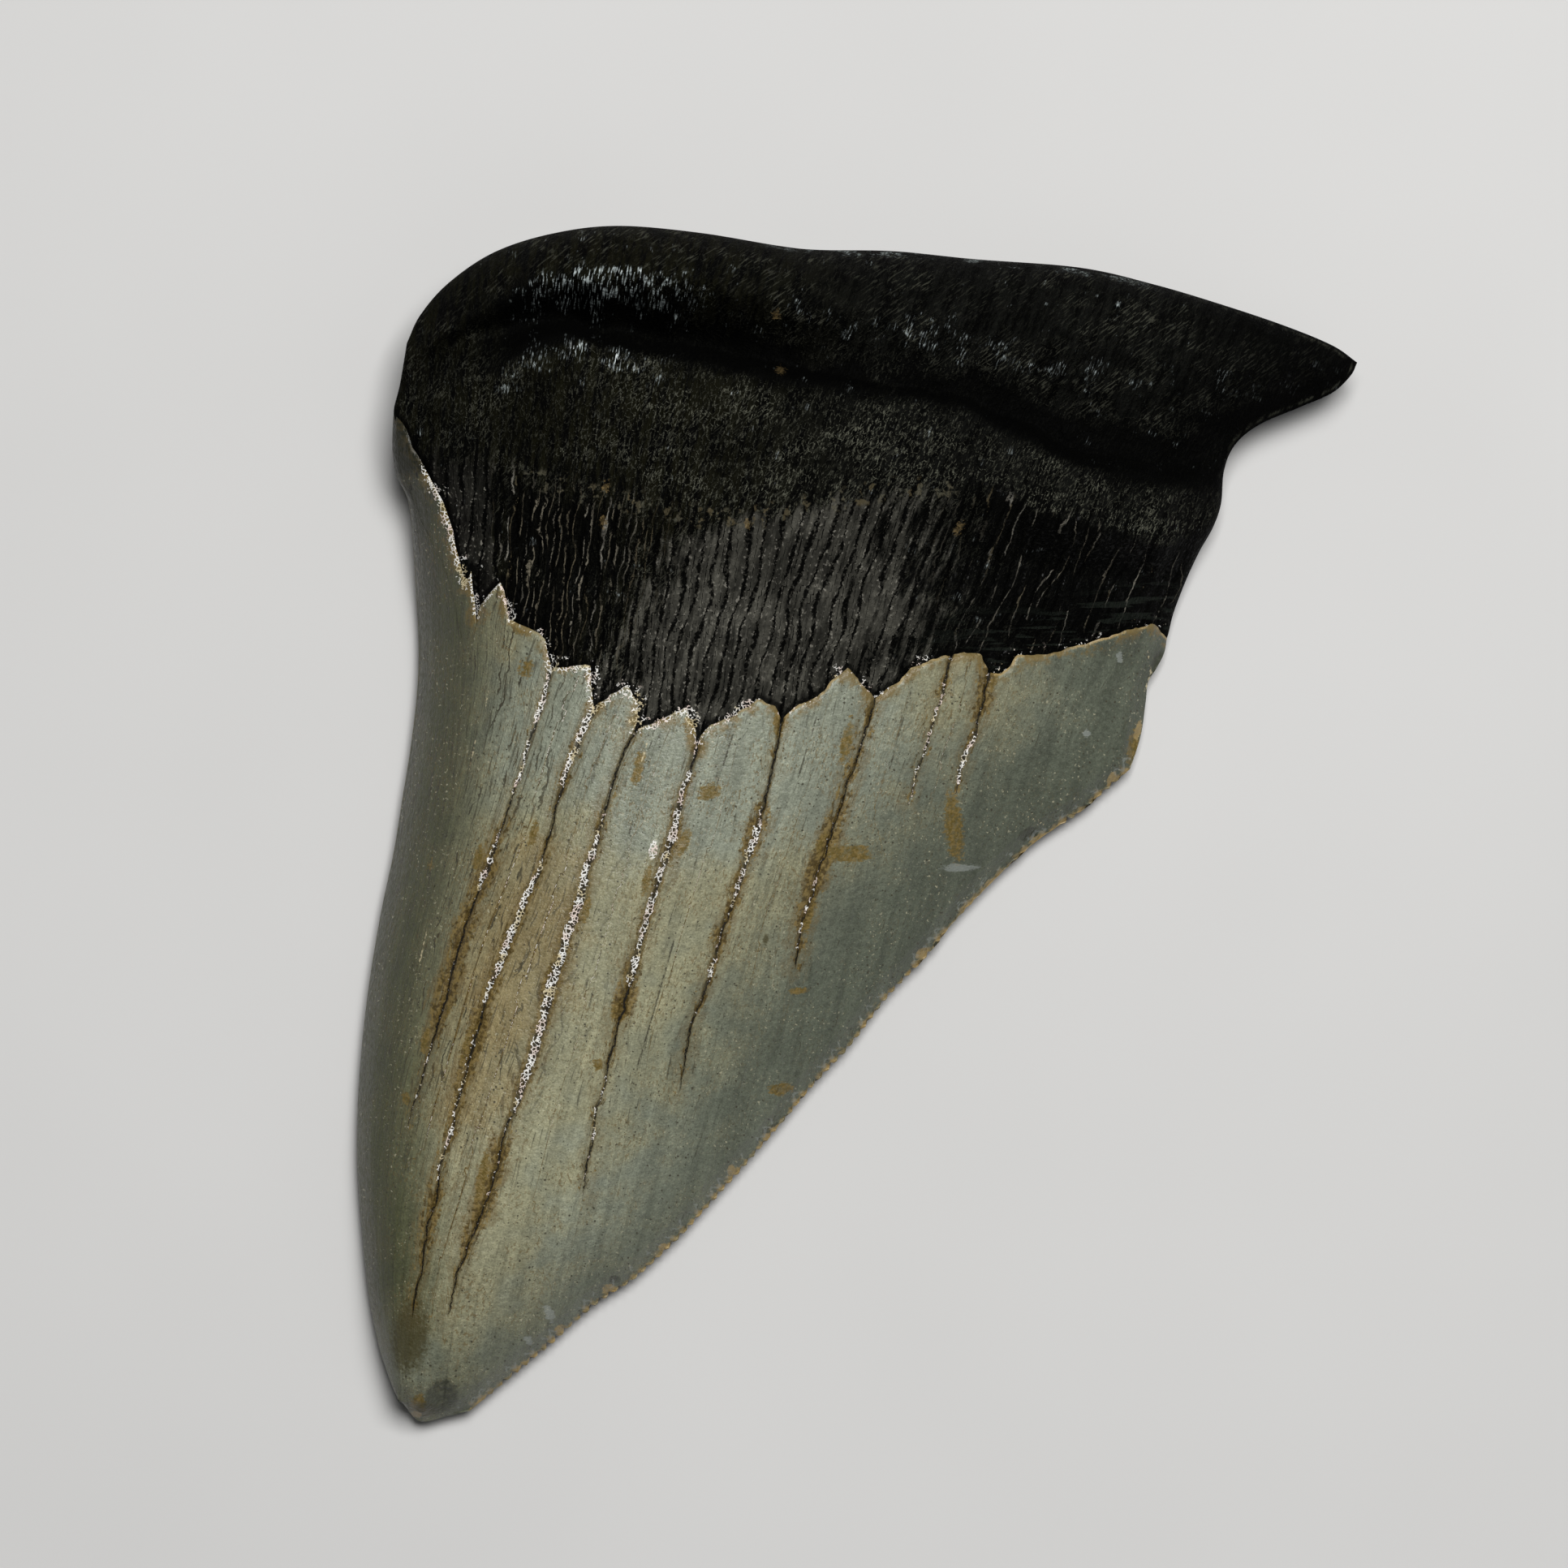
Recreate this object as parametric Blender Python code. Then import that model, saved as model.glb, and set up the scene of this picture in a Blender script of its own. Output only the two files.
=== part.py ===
"""Fossil megalodon tooth, lying on its flat outer face with its domed inner face up.

One solid: the bony root, the bare band below it and the enamel crown grew as one piece. Sizes are
in millimetres and are turned into metres when the mesh is made. +X is to the right, +Y runs from
the tip towards the root, and +Z is up. The origin is under the middle of the tooth's box.
"""

import bmesh
import bpy
import numpy as np
from mathutils import Vector, noise

MM = 0.001
MOST_TRIANGLES = 9600
WELD = 0.000001
FINE_STEP = 0.05
OUTLINE_STEP = 0.8

# The outline, seen from above
ROOT_TOP = [
    (-33.7, 36.2), (-32.7, 38.3), (-30.6, 40.7), (-27.2, 43.0), (-22.9, 44.4), (-18.0, 45.0),
    (-11.9, 44.5), (-5.8, 43.5), (-2.8, 43.2), (2.8, 43.1), (8.9, 42.5), (16.8, 41.9),
    (22.3, 40.7), (27.2, 39.3), (32.1, 37.7), (35.8, 36.2), (37.7, 34.9),
]
ROOT_LEFT = [(-33.7, 36.2), (-34.2, 33.2), (-34.7, 30.9)]
ROOT_RIGHT = [
    (37.7, 34.9), (37.2, 33.9), (35.8, 32.6), (33.3, 31.5), (30.3, 30.2), (28.5, 28.7),
    (27.7, 26.8), (27.5, 24.3), (26.9, 22.5), (25.9, 20.7), (24.9, 18.5), (24.0, 16.1),
    (23.5, 14.2),
]
CROWN_LEFT = [
    (-34.7, 30.9), (-34.8, 28.3), (-34.5, 26.3), (-33.7, 24.6), (-33.4, 21.9), (-33.2, 18.2),
    (-33.0, 13.9), (-33.1, 10.3), (-33.6, 6.0), (-34.2, 2.3), (-34.9, -2.0), (-35.8, -6.2),
    (-36.6, -10.8), (-37.2, -15.4), (-37.6, -20.3), (-37.7, -25.2), (-37.4, -30.1),
    (-36.9, -35.0), (-36.1, -39.2), (-35.1, -42.2), (-34.5, -43.3),
]
CROWN_RIGHT = [
    (23.5, 14.2), (23.3, 13.1), (22.7, 11.9), (22.1, 10.9), (21.9, 9.4), (21.6, 7.2),
    (21.1, 5.4), (20.7, 4.3),
]
TIP = [(-34.5, -43.3), (-33.3, -44.8), (-32.4, -45.0), (-30.9, -44.6), (-29.2, -44.2)]
SERRATED_EDGE = [
    (-29.2, -44.2), (-26.0, -41.5), (-22.9, -38.9), (-19.6, -36.0), (-16.5, -33.9),
    (-12.8, -30.4), (-9.8, -27.1), (-6.4, -23.3), (-3.4, -19.7), (-0.3, -16.3), (2.4, -12.8),
    (5.2, -9.9), (7.6, -7.0), (11.0, -3.5), (13.8, -1.0), (16.8, 1.0), (18.9, 2.8),
    (20.7, 4.3),
]
SERRATION_PITCH = 0.86
SERRATION_HEIGHT = 0.34
SERRATION_ROOT = 0.6
SERRATION_FADE = (3.0, 2.0)
SERRATION_FLUTE = 1.1
SERRATION_FLUTE_DEPTH = 0.1

# The enamel's ragged border on the domed face, from left to right
ENAMEL_LINE = [
    (-34.7, 30.9), (-33.9, 30.1), (-33.2, 28.3), (-32.5, 27.1), (-31.6, 25.6), (-30.7, 23.7),
    (-29.6, 19.7), (-29.2, 17.9), (-28.7, 19.4), (-28.4, 15.2), (-28.0, 16.7), (-26.3, 18.4),
    (-25.9, 15.3), (-24.8, 15.0), (-23.2, 14.1), (-22.7, 11.7), (-21.1, 11.9), (-19.8, 12.0),
    (-19.5, 8.9), (-17.1, 10.5), (-16.2, 9.2), (-16.4, 7.2), (-15.5, 7.5), (-14.1, 8.2),
    (-12.7, 8.9), (-12.0, 7.2), (-11.9, 5.7), (-11.5, 6.8), (-10.9, 7.5), (-9.3, 8.1),
    (-7.3, 9.5), (-6.1, 8.9), (-5.6, 7.9), (-4.4, 9.1), (-2.9, 9.6), (-1.9, 10.9),
    (-0.7, 11.8), (0.3, 10.6), (1.3, 9.6), (3.2, 10.9), (4.0, 11.8), (6.2, 12.7), (7.0, 12.8),
    (8.0, 13.0), (9.3, 12.8), (9.8, 11.6), (10.8, 11.4), (11.6, 12.2), (12.0, 12.8),
    (14.4, 12.9), (15.9, 13.4), (17.9, 13.9), (20.2, 14.7), (22.4, 15.3), (23.5, 14.2),
]
ENAMEL_STEP = 0.5

# The main cracks in the enamel, each from its notch in the border to where its line meets the
# edge, with the part of that line that is open and the width of the groove
CRACKS = [
    ([(-22.7, 11.7), (-23.7, 8.5), (-25.1, 3.9), (-26.7, -0.7), (-29.4, -8.1), (-30.7, -12.7),
      (-32.0, -17.2), (-33.4, -22.1), (-34.4, -28.0), (-34.7, -35.0), (-34.2, -43.7)], 0.58, 0.5),
    ([(-19.5, 8.9), (-21.6, 4.0), (-23.3, -2.2), (-26.6, -10.2), (-28.2, -14.9), (-29.5, -19.6),
      (-31.1, -25.8), (-32.5, -32.2), (-33.4, -37.5), (-33.6, -44.4)], 0.86, 0.6),
    ([(-16.4, 7.2), (-18.0, 3.7), (-19.3, -0.7), (-20.8, -5.9), (-22.5, -11.2), (-24.1, -17.0),
      (-26.1, -22.3), (-27.8, -28.1), (-29.5, -32.4), (-30.6, -36.7), (-31.8, -44.8)], 0.84, 0.8),
    ([(-11.9, 5.7), (-13.0, 2.4), (-13.9, -1.2), (-15.1, -5.1), (-16.6, -10.2), (-17.8, -14.9),
      (-18.9, -19.1), (-19.9, -23.8), (-20.6, -28.4), (-22.9, -38.9)], 0.77, 0.7),
    ([(-5.6, 7.9), (-6.2, 5.1), (-7.4, 0.2), (-8.8, -4.2), (-10.2, -8.4), (-11.4, -12.4),
      (-12.5, -15.3), (-13.4, -20.5), (-17.2, -34.4)], 0.66, 0.5),
    ([(1.3, 9.6), (-0.1, 4.9), (-1.5, 0.9), (-2.9, -3.5), (-4.2, -7.5), (-4.9, -11.5),
      (-9.1, -26.3)], 0.57, 0.5),
    ([(7.0, 12.8), (5.5, 7.2), (4.3, 3.5), (3.4, -0.5), (-0.6, -16.6)], 0.36, 0.3),
    ([(9.8, 11.6), (9.4, 9.0), (8.6, 6.5), (7.5, 3.5), (2.9, -12.2)], 0.32, 0.3),
]
CRACK_DEPTH = 0.45
CRACK_CLOSING = 0.12

# The mesh before it is thinned: columns from crack to crack, and rows down the root and crown
COLUMNS_PER_STRIP = [20, 12, 18, 26, 32, 36, 34, 20, 44]
CROWDING_AT_CRACKS = 0.55
CRACK_COLUMNS = 4
ROOT_ROWS = 64
CROWN_ROWS = 84

# Relief of the root's domed face: (x, y, height) along each ridge or hollow, from left to right
CREST = [
    (-34, 34.5, 8.5), (-30, 37.6, 11.8), (-24, 40.6, 14.6), (-16, 41.4, 15.8), (-6, 39.6, 15.6),
    (4, 38.2, 15.2), (14, 36.6, 14.0), (22, 35.2, 11.6), (30, 34.4, 8.6), (38, 34.6, 5.4),
]
GROOVE = [
    (-34, 33.5, 8.0), (-27.8, 37.2, 10.6), (-21.7, 37.8, 8.8), (-15.5, 36.6, 8.8),
    (-9.5, 35.3, 9.8), (-5.8, 34.4, 11.0), (-2.0, 33.6, 12.4), (2.8, 32.7, 13.0),
    (8.0, 32.0, 12.6), (10.7, 30.9, 12.0), (15.0, 28.8, 10.8), (19.9, 27.5, 9.4),
    (23.5, 27.2, 7.2), (26.0, 28.3, 5.6), (38, 32.6, 4.6),
]
LIP = [
    (-34, 32.5, 8.0), (-26.9, 33.7, 13.6), (-24.5, 34.8, 15.6), (-22.3, 35.9, 16.6),
    (-20.8, 36.1, 17.0), (-18.0, 35.2, 16.4), (-14.7, 34.5, 16.8), (-9.5, 33.6, 17.4),
    (-3.4, 32.3, 17.6), (1.5, 31.9, 17.2), (5.8, 31.3, 16.8), (8.9, 30.6, 16.2),
    (10.7, 29.4, 15.6), (15.0, 27.3, 14.2), (18.6, 26.2, 12.8), (21.7, 25.6, 11.0),
    (26.0, 25.2, 7.6), (38, 30.0, 4.4),
]
SHELF = [
    (-34, 28.5, 7.0), (-27.8, 28.0, 12.8), (-21.7, 25.6, 15.0), (-15.6, 24.3, 16.4),
    (-9.5, 23.1, 16.8), (-3.4, 24.3, 17.0), (2.8, 25.6, 16.8), (8.9, 25.5, 16.4),
    (12.5, 24.0, 15.6), (18.0, 22.5, 13.4), (23.5, 21.4, 9.4), (26.0, 22.5, 6.8),
    (38, 27.0, 4.2),
]
BAND = [
    (-34, 23.0, 5.6), (-27.8, 22.0, 11.4), (-21.7, 19.4, 13.8), (-15.6, 17.0, 15.2),
    (-9.5, 15.8, 15.6), (-3.4, 17.0, 15.4), (2.8, 18.2, 14.2), (8.9, 19.1, 12.4),
    (15.0, 18.9, 10.2), (21.0, 18.4, 7.2), (24.5, 18.4, 4.6), (38, 22.0, 4.0),
]
RELIEF_SAMPLES = 300
RELIEF_SOFTENING = 13
BAND_TO_ENAMEL = 6.0
ROOT_LUMPS = 0.55
ROOT_LUMP_SIZE = 3.2
FIBRE_DEPTH = 0.34
FIBRE_PITCH = 1.3
FIBRE_LENGTH = 11.0
FIBRE_LEAN = (0.08, 0.4)
FIBRE_LEAN_FROM_TO = (-34.0, 15.0)
FIBRE_UPRIGHT_LEVEL = 20.0
FIBRES_FROM_TO = (-4.0, 3.0)

# The crown: how far its domed face stands over the cutting edge, level by level up Y
CROWN_LEVELS = [-45.0, -44.0, -42.0, -38.0, -32.0, -24.0, -14.0, -4.0, 6.0, 16.0, 31.0]
CROWN_DOMES = [0.9, 1.9, 3.4, 5.2, 7.0, 8.8, 10.6, 12.2, 13.2, 13.8, 13.8]
DOME_TOP = 0.48
DOME_LEFT_POWER = 2.5
DOME_LEFT_FULLNESS = 0.85
DOME_RIGHT_POWER = 1.9
CORNER_BLEND = 3.0

# The edge all round: how high over the ground it is, and how it thickens from crown to root
EDGE_HEIGHT = 1.8
EDGE_MARGIN = 1.2
ROOT_EDGE_RISE = 5.4
ROOT_EDGE_FROM_TO = (14.0, 34.0)
ROOT_EDGE_RADIUS = 5.5
SPUR_THINNING = 0.5
SPUR_FROM_TO = (8.0, 38.0)

# The flat face, which rests on the ground: a shallow hollow, and the enamel's smooth border
FLAT_HOLLOW = 1.2
FLAT_HOLLOW_PLACE = (-4.0, 27.0)
FLAT_HOLLOW_REACH = (15.0, 6.0)
FLAT_ENAMEL_LINE = [
    (-34.7, 30.9), (-30.0, 26.6), (-24.0, 23.4), (-12.0, 20.8), (0.0, 19.6), (10.0, 18.4),
    (18.0, 16.8), (23.5, 14.2),
]
FLAT_STEP = 0.5
FLAT_STEP_WIDTH = 0.6
FLAT_STEP_END = (1.0, 9.0)
FLAT_SINK = 0.12
FLAT_EDGE_RADIUS = 6.5
FLAT_EDGE_POWER = 2.6
FLAT_ROOT_FROM_TO = (12.0, 26.0)
LEAST_THICKNESS = 0.05
TIP_CHIP_PLACE = (-31.4, -42.6)
TIP_CHIP_REACH = (1.0, 1.9)
TIP_CHIP_DEPTH = 0.7
PITS = [(-31.8, 30.3, 0.8), (-30.4, 29.3, 0.7), (-15.2, 36.2, 1.2), (23.6, 27.0, 1.3)]
PIT_DEPTH = 0.8

ENAMEL_COLOUR = (0.245, 0.235, 0.165, 1.0)
ROOT_COLOUR = (0.012, 0.012, 0.009, 1.0)


def clear_scene():
    for scene_object in list(bpy.data.objects):
        bpy.data.objects.remove(scene_object, do_unlink=True)


def smooth_curve(points, steps=12):
    """A Catmull-Rom curve through the points."""
    points = np.array(points)
    ends = [2 * points[0] - points[1]], [2 * points[-1] - points[-2]]
    padded = np.vstack([ends[0], points, ends[1]])
    before, start, stop, after = padded[:-3], padded[1:-2], padded[2:-1], padded[3:]
    pieces = []
    for t in np.linspace(0, 1, steps, endpoint=False):
        bend = 2 * before - 5 * start + 4 * stop - after
        twist = 3 * start - before - 3 * stop + after
        pieces.append(start + 0.5 * ((stop - before) * t + bend * t**2 + twist * t**3))
    curve = np.stack(pieces, axis=1).reshape(-1, 2)
    return np.vstack([curve, points[-1:]])


def lengths_along(curve):
    steps = np.hypot(*np.diff(curve, axis=0).T)
    return np.concatenate([[0], np.cumsum(steps)])


def along(curve, fractions):
    """Points at fractions of the curve's length."""
    places = lengths_along(curve)
    places = places / places[-1]
    return np.column_stack([np.interp(fractions, places, curve[:, axis]) for axis in (0, 1)])


def even_steps(curve, step):
    count = max(2, round(lengths_along(curve)[-1] / step))
    return along(curve, np.linspace(0, 1, count + 1))


def nearest_index(curve, point):
    return int(np.argmin(np.hypot(*(curve - np.array(point)).T)))


def patch(top, bottom, left, right, across, down):
    """A Coons patch of plan positions between four borders."""
    u = across[None, :, None]
    v = down[:, None, None]
    ruled_down = (1 - v) * top[None] + v * bottom[None]
    ruled_across = (1 - u) * left[:, None] + u * right[:, None]
    upper = (1 - u) * top[0] + u * top[-1]
    lower = (1 - u) * bottom[0] + u * bottom[-1]
    return ruled_down + ruled_across - (1 - v) * upper - v * lower


def smoothstep(low, high, value):
    t = np.clip((value - low) / (high - low), 0, 1)
    return t * t * (3 - 2 * t)


def serrated(edge):
    """The cutting edge pushed out into small round teeth."""
    places = lengths_along(edge)
    direction = np.gradient(edge, axis=0)
    direction /= np.hypot(*direction.T)[:, None]
    outward = np.column_stack([direction[:, 1], -direction[:, 0]])
    count = round(places[-1] / SERRATION_PITCH)
    swell = np.abs(np.sin(np.pi * count * places / places[-1])) - SERRATION_ROOT
    fade = smoothstep(0, SERRATION_FADE[0], places)
    fade *= smoothstep(0, SERRATION_FADE[1], places[-1] - places)
    return edge + outward * (SERRATION_HEIGHT * swell * fade)[:, None]


def crowded(count):
    """Fractions from 0 to 1, closer together at both ends, where the cracks are."""
    even = np.linspace(0, 1, count + 1)
    eased = 0.5 - 0.5 * np.cos(np.pi * even)
    return even + CROWDING_AT_CRACKS * (eased - even)


def crown_plan():
    """Plan positions of the crown's grid: its columns follow the cracks."""
    border = even_steps(np.array(ENAMEL_LINE), FINE_STEP)
    edge = np.vstack([even_steps(smooth_curve(TIP), FINE_STEP)[:-1],
                      serrated(even_steps(smooth_curve(SERRATED_EDGE), FINE_STEP))])
    guides = [even_steps(smooth_curve(line), FINE_STEP) for line, _, _ in CRACKS]
    starts = [0] + [nearest_index(border, guide[0]) for guide in guides] + [len(border) - 1]
    stops = [0] + [nearest_index(edge, guide[-1]) for guide in guides] + [len(edge) - 1]
    for guide, start, stop in zip(guides, starts[1:-1], stops[1:-1]):
        guide[0] = border[start]
        guide[-1] = edge[stop]
    sides = [smooth_curve(CROWN_LEFT)] + guides + [smooth_curve(CROWN_RIGHT)]
    down = np.linspace(0, 1, CROWN_ROWS + 1)
    strips = []
    guide_columns = []
    column = 0
    for index, count in enumerate(COLUMNS_PER_STRIP):
        across = crowded(count)
        strip = patch(
            along(border[starts[index]:starts[index + 1] + 1], across),
            along(edge[stops[index]:stops[index + 1] + 1], across),
            along(sides[index], down),
            along(sides[index + 1], down),
            across, down,
        )
        last = index == len(COLUMNS_PER_STRIP) - 1
        strips.append(strip if last else strip[:, :-1])
        column += count
        if not last:
            guide_columns.append(column)
    return np.hstack(strips), guide_columns


def root_plan(border):
    """Plan positions of the root's grid, which ends on the enamel's border."""
    across = (border[:, 0] - border[0, 0]) / (border[-1, 0] - border[0, 0])
    across = (np.maximum.accumulate(across) + np.linspace(0, 1, len(across))) / 2
    down = np.linspace(0, 1, ROOT_ROWS + 1)
    top = along(smooth_curve(ROOT_TOP), across)
    left = along(smooth_curve(ROOT_LEFT), down)
    right = along(smooth_curve(ROOT_RIGHT), down)
    return patch(top, border, left, right, across, down)


def distance_to(curve, x, y):
    """Distance of each place from a curve."""
    start = curve[:-1]
    step = np.diff(curve, axis=0)
    square = (step**2).sum(axis=1)
    best = np.full(x.shape, np.inf)
    for corner, side, size in zip(start, step, square):
        t = np.clip(((x - corner[0]) * side[0] + (y - corner[1]) * side[1]) / size, 0, 1)
        reach = np.hypot(x - corner[0] - t * side[0], y - corner[1] - t * side[1])
        best = np.minimum(best, reach)
    return best


def whole_outline():
    parts = [smooth_curve(ROOT_TOP), smooth_curve(ROOT_RIGHT), smooth_curve(CROWN_RIGHT),
             smooth_curve(SERRATED_EDGE)[::-1], smooth_curve(TIP)[::-1],
             smooth_curve(CROWN_LEFT)[::-1], smooth_curve(ROOT_LEFT)[::-1]]
    return even_steps(np.vstack(parts), OUTLINE_STEP)


def share_across(x, y):
    """0 on the left edge and 1 on the right one, by how near each of them is."""
    left = np.vstack([smooth_curve(ROOT_LEFT), smooth_curve(CROWN_LEFT)])
    shoulder = np.vstack([smooth_curve(ROOT_RIGHT), smooth_curve(CROWN_RIGHT)])
    cutting = np.vstack([smooth_curve(TIP), smooth_curve(SERRATED_EDGE)])
    from_left, from_shoulder, from_cutting = (
        distance_to(even_steps(edge, OUTLINE_STEP), x, y) + MM for edge in (left, shoulder, cutting)
    )
    nearness = from_shoulder**-CORNER_BLEND + from_cutting**-CORNER_BLEND
    from_right = nearness**(-1 / CORNER_BLEND)
    return from_left / (from_left + from_right)


def line_at(line, x):
    """Where a relief line runs and how high it stands, at each x."""
    line = np.array(line)
    fine = np.linspace(line[0, 0], line[-1, 0], RELIEF_SAMPLES)
    average = np.ones(RELIEF_SOFTENING) / RELIEF_SOFTENING
    values = []
    for column in (1, 2):
        sharp = np.interp(fine, line[:, 0], line[:, column])
        padded = np.pad(sharp, RELIEF_SOFTENING // 2, mode="edge")
        values.append(np.interp(x, fine, np.convolve(padded, average, mode="valid")))
    return values


def edge_height(x, y):
    thinning = 1 - SPUR_THINNING * smoothstep(*SPUR_FROM_TO, x)
    return EDGE_HEIGHT + ROOT_EDGE_RISE * smoothstep(*ROOT_EDGE_FROM_TO, y) * thinning


def crown_height(x, y):
    """The domed face of the crown: steep on the left, long and easy towards the serrated edge."""
    share = share_across(x, y)
    dome = np.interp(y, CROWN_LEVELS, CROWN_DOMES)
    left = np.clip((DOME_TOP - share) / DOME_TOP, 0, 1)
    right = np.clip((share - DOME_TOP) / (1 - DOME_TOP), 0, 1)
    left_side = (1 - left**DOME_LEFT_POWER)**DOME_LEFT_FULLNESS
    section = np.where(share < DOME_TOP, left_side, 1 - right**DOME_RIGHT_POWER)
    return edge_height(x, y) + dome * section


def root_height(x, y, from_edge):
    """The domed face of the root: a loft across its ridge, groove, lip, shelf and bare band."""
    levels, heights = zip(*(line_at(line, x) for line in (BAND, SHELF, LIP, GROOVE, CREST)))
    result = heights[0]
    for lower, upper, low, high in zip(levels, levels[1:], heights, heights[1:]):
        share = smoothstep(0, 1, (y - lower) / np.maximum(upper - lower, 0.2))
        result = np.where(y > lower, low + (high - low) * share, result)
    edge = edge_height(x, y)
    bend = 1 - np.clip(from_edge / ROOT_EDGE_RADIUS, 0, 1)
    return edge + (result - edge) * np.sqrt(np.clip(1 - bend**2, 0, 1))


def waves(x, y, width, length):
    """Smooth random waves from -1 to 1, of a given width across X and length along Y."""
    places = zip(x.ravel() / width, y.ravel() / length)
    coarse_and_fine = [
        noise.noise(Vector((a, b, width))) + 0.5 * noise.noise(Vector((2.3 * a, 2.3 * b, length)))
        for a, b in places
    ]
    return np.array(coarse_and_fine).reshape(x.shape)


def fibres(x, y):
    """The bone's grain: flutes that lean more to the right the further right they are."""
    lean = FIBRE_LEAN[0] + (FIBRE_LEAN[1] - FIBRE_LEAN[0]) * smoothstep(*FIBRE_LEAN_FROM_TO, x)
    return waves(x - lean * (y - FIBRE_UPRIGHT_LEVEL), y, FIBRE_PITCH, FIBRE_LENGTH)


def domed_face(plan, guide_columns):
    """Height of every grid point on the domed face."""
    x, y = plan[..., 0], plan[..., 1]
    from_edge = distance_to(whole_outline(), x, y)
    near_edge = np.clip(from_edge / EDGE_MARGIN, 0, 1)
    band_level, _ = line_at(BAND, x)
    to_crown = smoothstep(0, BAND_TO_ENAMEL, band_level - y)
    bone = root_height(x, y, from_edge)
    shelf_level, _ = line_at(SHELF, x)
    below_shelf = smoothstep(*FIBRES_FROM_TO, shelf_level - y)
    rough = ROOT_LUMPS * waves(x, y, ROOT_LUMP_SIZE, ROOT_LUMP_SIZE) * (1 - below_shelf)
    rough += FIBRE_DEPTH * fibres(x, y) * below_shelf * (1 - to_crown / 2)
    rough[ROOT_ROWS + 1:] = 0
    height = bone * (1 - to_crown) + crown_height(x, y) * to_crown + rough * near_edge
    for pit_x, pit_y, radius in PITS:
        reach = np.hypot(x - pit_x, y - pit_y) / radius
        height -= PIT_DEPTH * np.exp(-reach**2)
    crown = slice(ROOT_ROWS + 1, None)
    height[crown] += ENAMEL_STEP * near_edge[crown]
    cut_cracks(height[crown], plan[crown], near_edge[crown], guide_columns)
    flute_edge(height[crown], plan[crown], from_edge[crown])
    chip = ((x - TIP_CHIP_PLACE[0]) / TIP_CHIP_REACH[0])**2
    chip += ((y - TIP_CHIP_PLACE[1]) / TIP_CHIP_REACH[1])**2
    return height - TIP_CHIP_DEPTH * np.exp(-chip) * near_edge


def cut_cracks(height, plan, near_edge, guide_columns):
    """Opens a groove along each crack's own column and its neighbours."""
    down = np.linspace(0, 1, len(height))
    for column, (_, open_share, width) in zip(guide_columns, CRACKS):
        strength = 1 - smoothstep(open_share - CRACK_CLOSING, open_share, down)
        for other in range(column - CRACK_COLUMNS, column + CRACK_COLUMNS + 1):
            gap = np.hypot(*(plan[:, other] - plan[:, column]).T)
            depth = CRACK_DEPTH * np.clip(1 - gap / (width / 2), 0, 1)
            height[:, other] -= depth * strength * near_edge[:, other]


def flute_edge(height, plan, from_edge):
    """Small flutes run in from the gaps between the serrations."""
    edge = even_steps(smooth_curve(SERRATED_EDGE), 2 * FINE_STEP)
    count = round(lengths_along(edge)[-1] / SERRATION_PITCH)
    close = from_edge < SERRATION_FLUTE
    x, y = plan[..., 0][close], plan[..., 1][close]
    reach = np.hypot(x[:, None] - edge[:, 0], y[:, None] - edge[:, 1])
    nearest = np.argmin(reach, axis=1)
    on_edge = reach[np.arange(len(nearest)), nearest] < SERRATION_FLUTE
    swell = np.abs(np.sin(np.pi * count * nearest / (len(edge) - 1)))
    fade = 1 - from_edge[close] / SERRATION_FLUTE
    height[close] -= SERRATION_FLUTE_DEPTH * (1 - swell) * fade * on_edge


def flat_face(plan):
    """Height of every grid point on the flat face, which rests on the ground around a hollow."""
    x, y = plan[..., 0], plan[..., 1]
    from_edge = distance_to(whole_outline(), x, y)
    edge = edge_height(x, y)
    hollow = ((x - FLAT_HOLLOW_PLACE[0]) / FLAT_HOLLOW_REACH[0])**2
    hollow += ((y - FLAT_HOLLOW_PLACE[1]) / FLAT_HOLLOW_REACH[1])**2
    border = np.array(FLAT_ENAMEL_LINE)
    above = y - np.interp(x, border[:, 0], border[:, 1])
    step = FLAT_STEP * smoothstep(0, FLAT_STEP_WIDTH, above)
    step *= 1 - smoothstep(*FLAT_STEP_END, above)
    ground = FLAT_HOLLOW * np.exp(-hollow) + step
    share = share_across(x, y)
    crown_bend = np.abs(2 * share - 1)**FLAT_EDGE_POWER
    root_bend = 1 - np.sqrt(1 - (1 - np.clip(from_edge / FLAT_EDGE_RADIUS, 0, 1))**2)
    bend = crown_bend + (root_bend - crown_bend) * smoothstep(*FLAT_ROOT_FROM_TO, y)
    return np.maximum(ground + (edge - ground) * bend - FLAT_SINK, 0)


def sheet(shape, plan, heights):
    """One face of the tooth: a grid bent to its plan positions and heights."""
    rows, columns = heights.shape
    grid = bmesh.ops.create_grid(
        shape, x_segments=columns - 1, y_segments=rows - 1, size=1, calc_uvs=False)
    for index, vertex in enumerate(grid["verts"]):
        row, column = divmod(index, columns)
        vertex.co = Vector((*plan[row, column], heights[row, column])) * MM


def closed_tooth():
    """Both faces, welded along the outline."""
    crown, guide_columns = crown_plan()
    plan = np.vstack([root_plan(crown[0]), crown])
    domed = domed_face(plan, guide_columns)
    flat = flat_face(plan)
    rim = np.ones(domed.shape, bool)
    rim[1:-1, 1:-1] = False
    edge = edge_height(plan[..., 0], plan[..., 1])
    shape = bmesh.new()
    sheet(shape, plan, np.where(rim, edge, np.maximum(domed, flat + LEAST_THICKNESS)))
    sheet(shape, plan, np.where(rim, edge, flat))
    bmesh.ops.remove_doubles(shape, verts=shape.verts, dist=WELD)
    bmesh.ops.dissolve_degenerate(shape, dist=WELD, edges=shape.edges)
    bmesh.ops.recalc_face_normals(shape, faces=shape.faces)
    return shape


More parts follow.
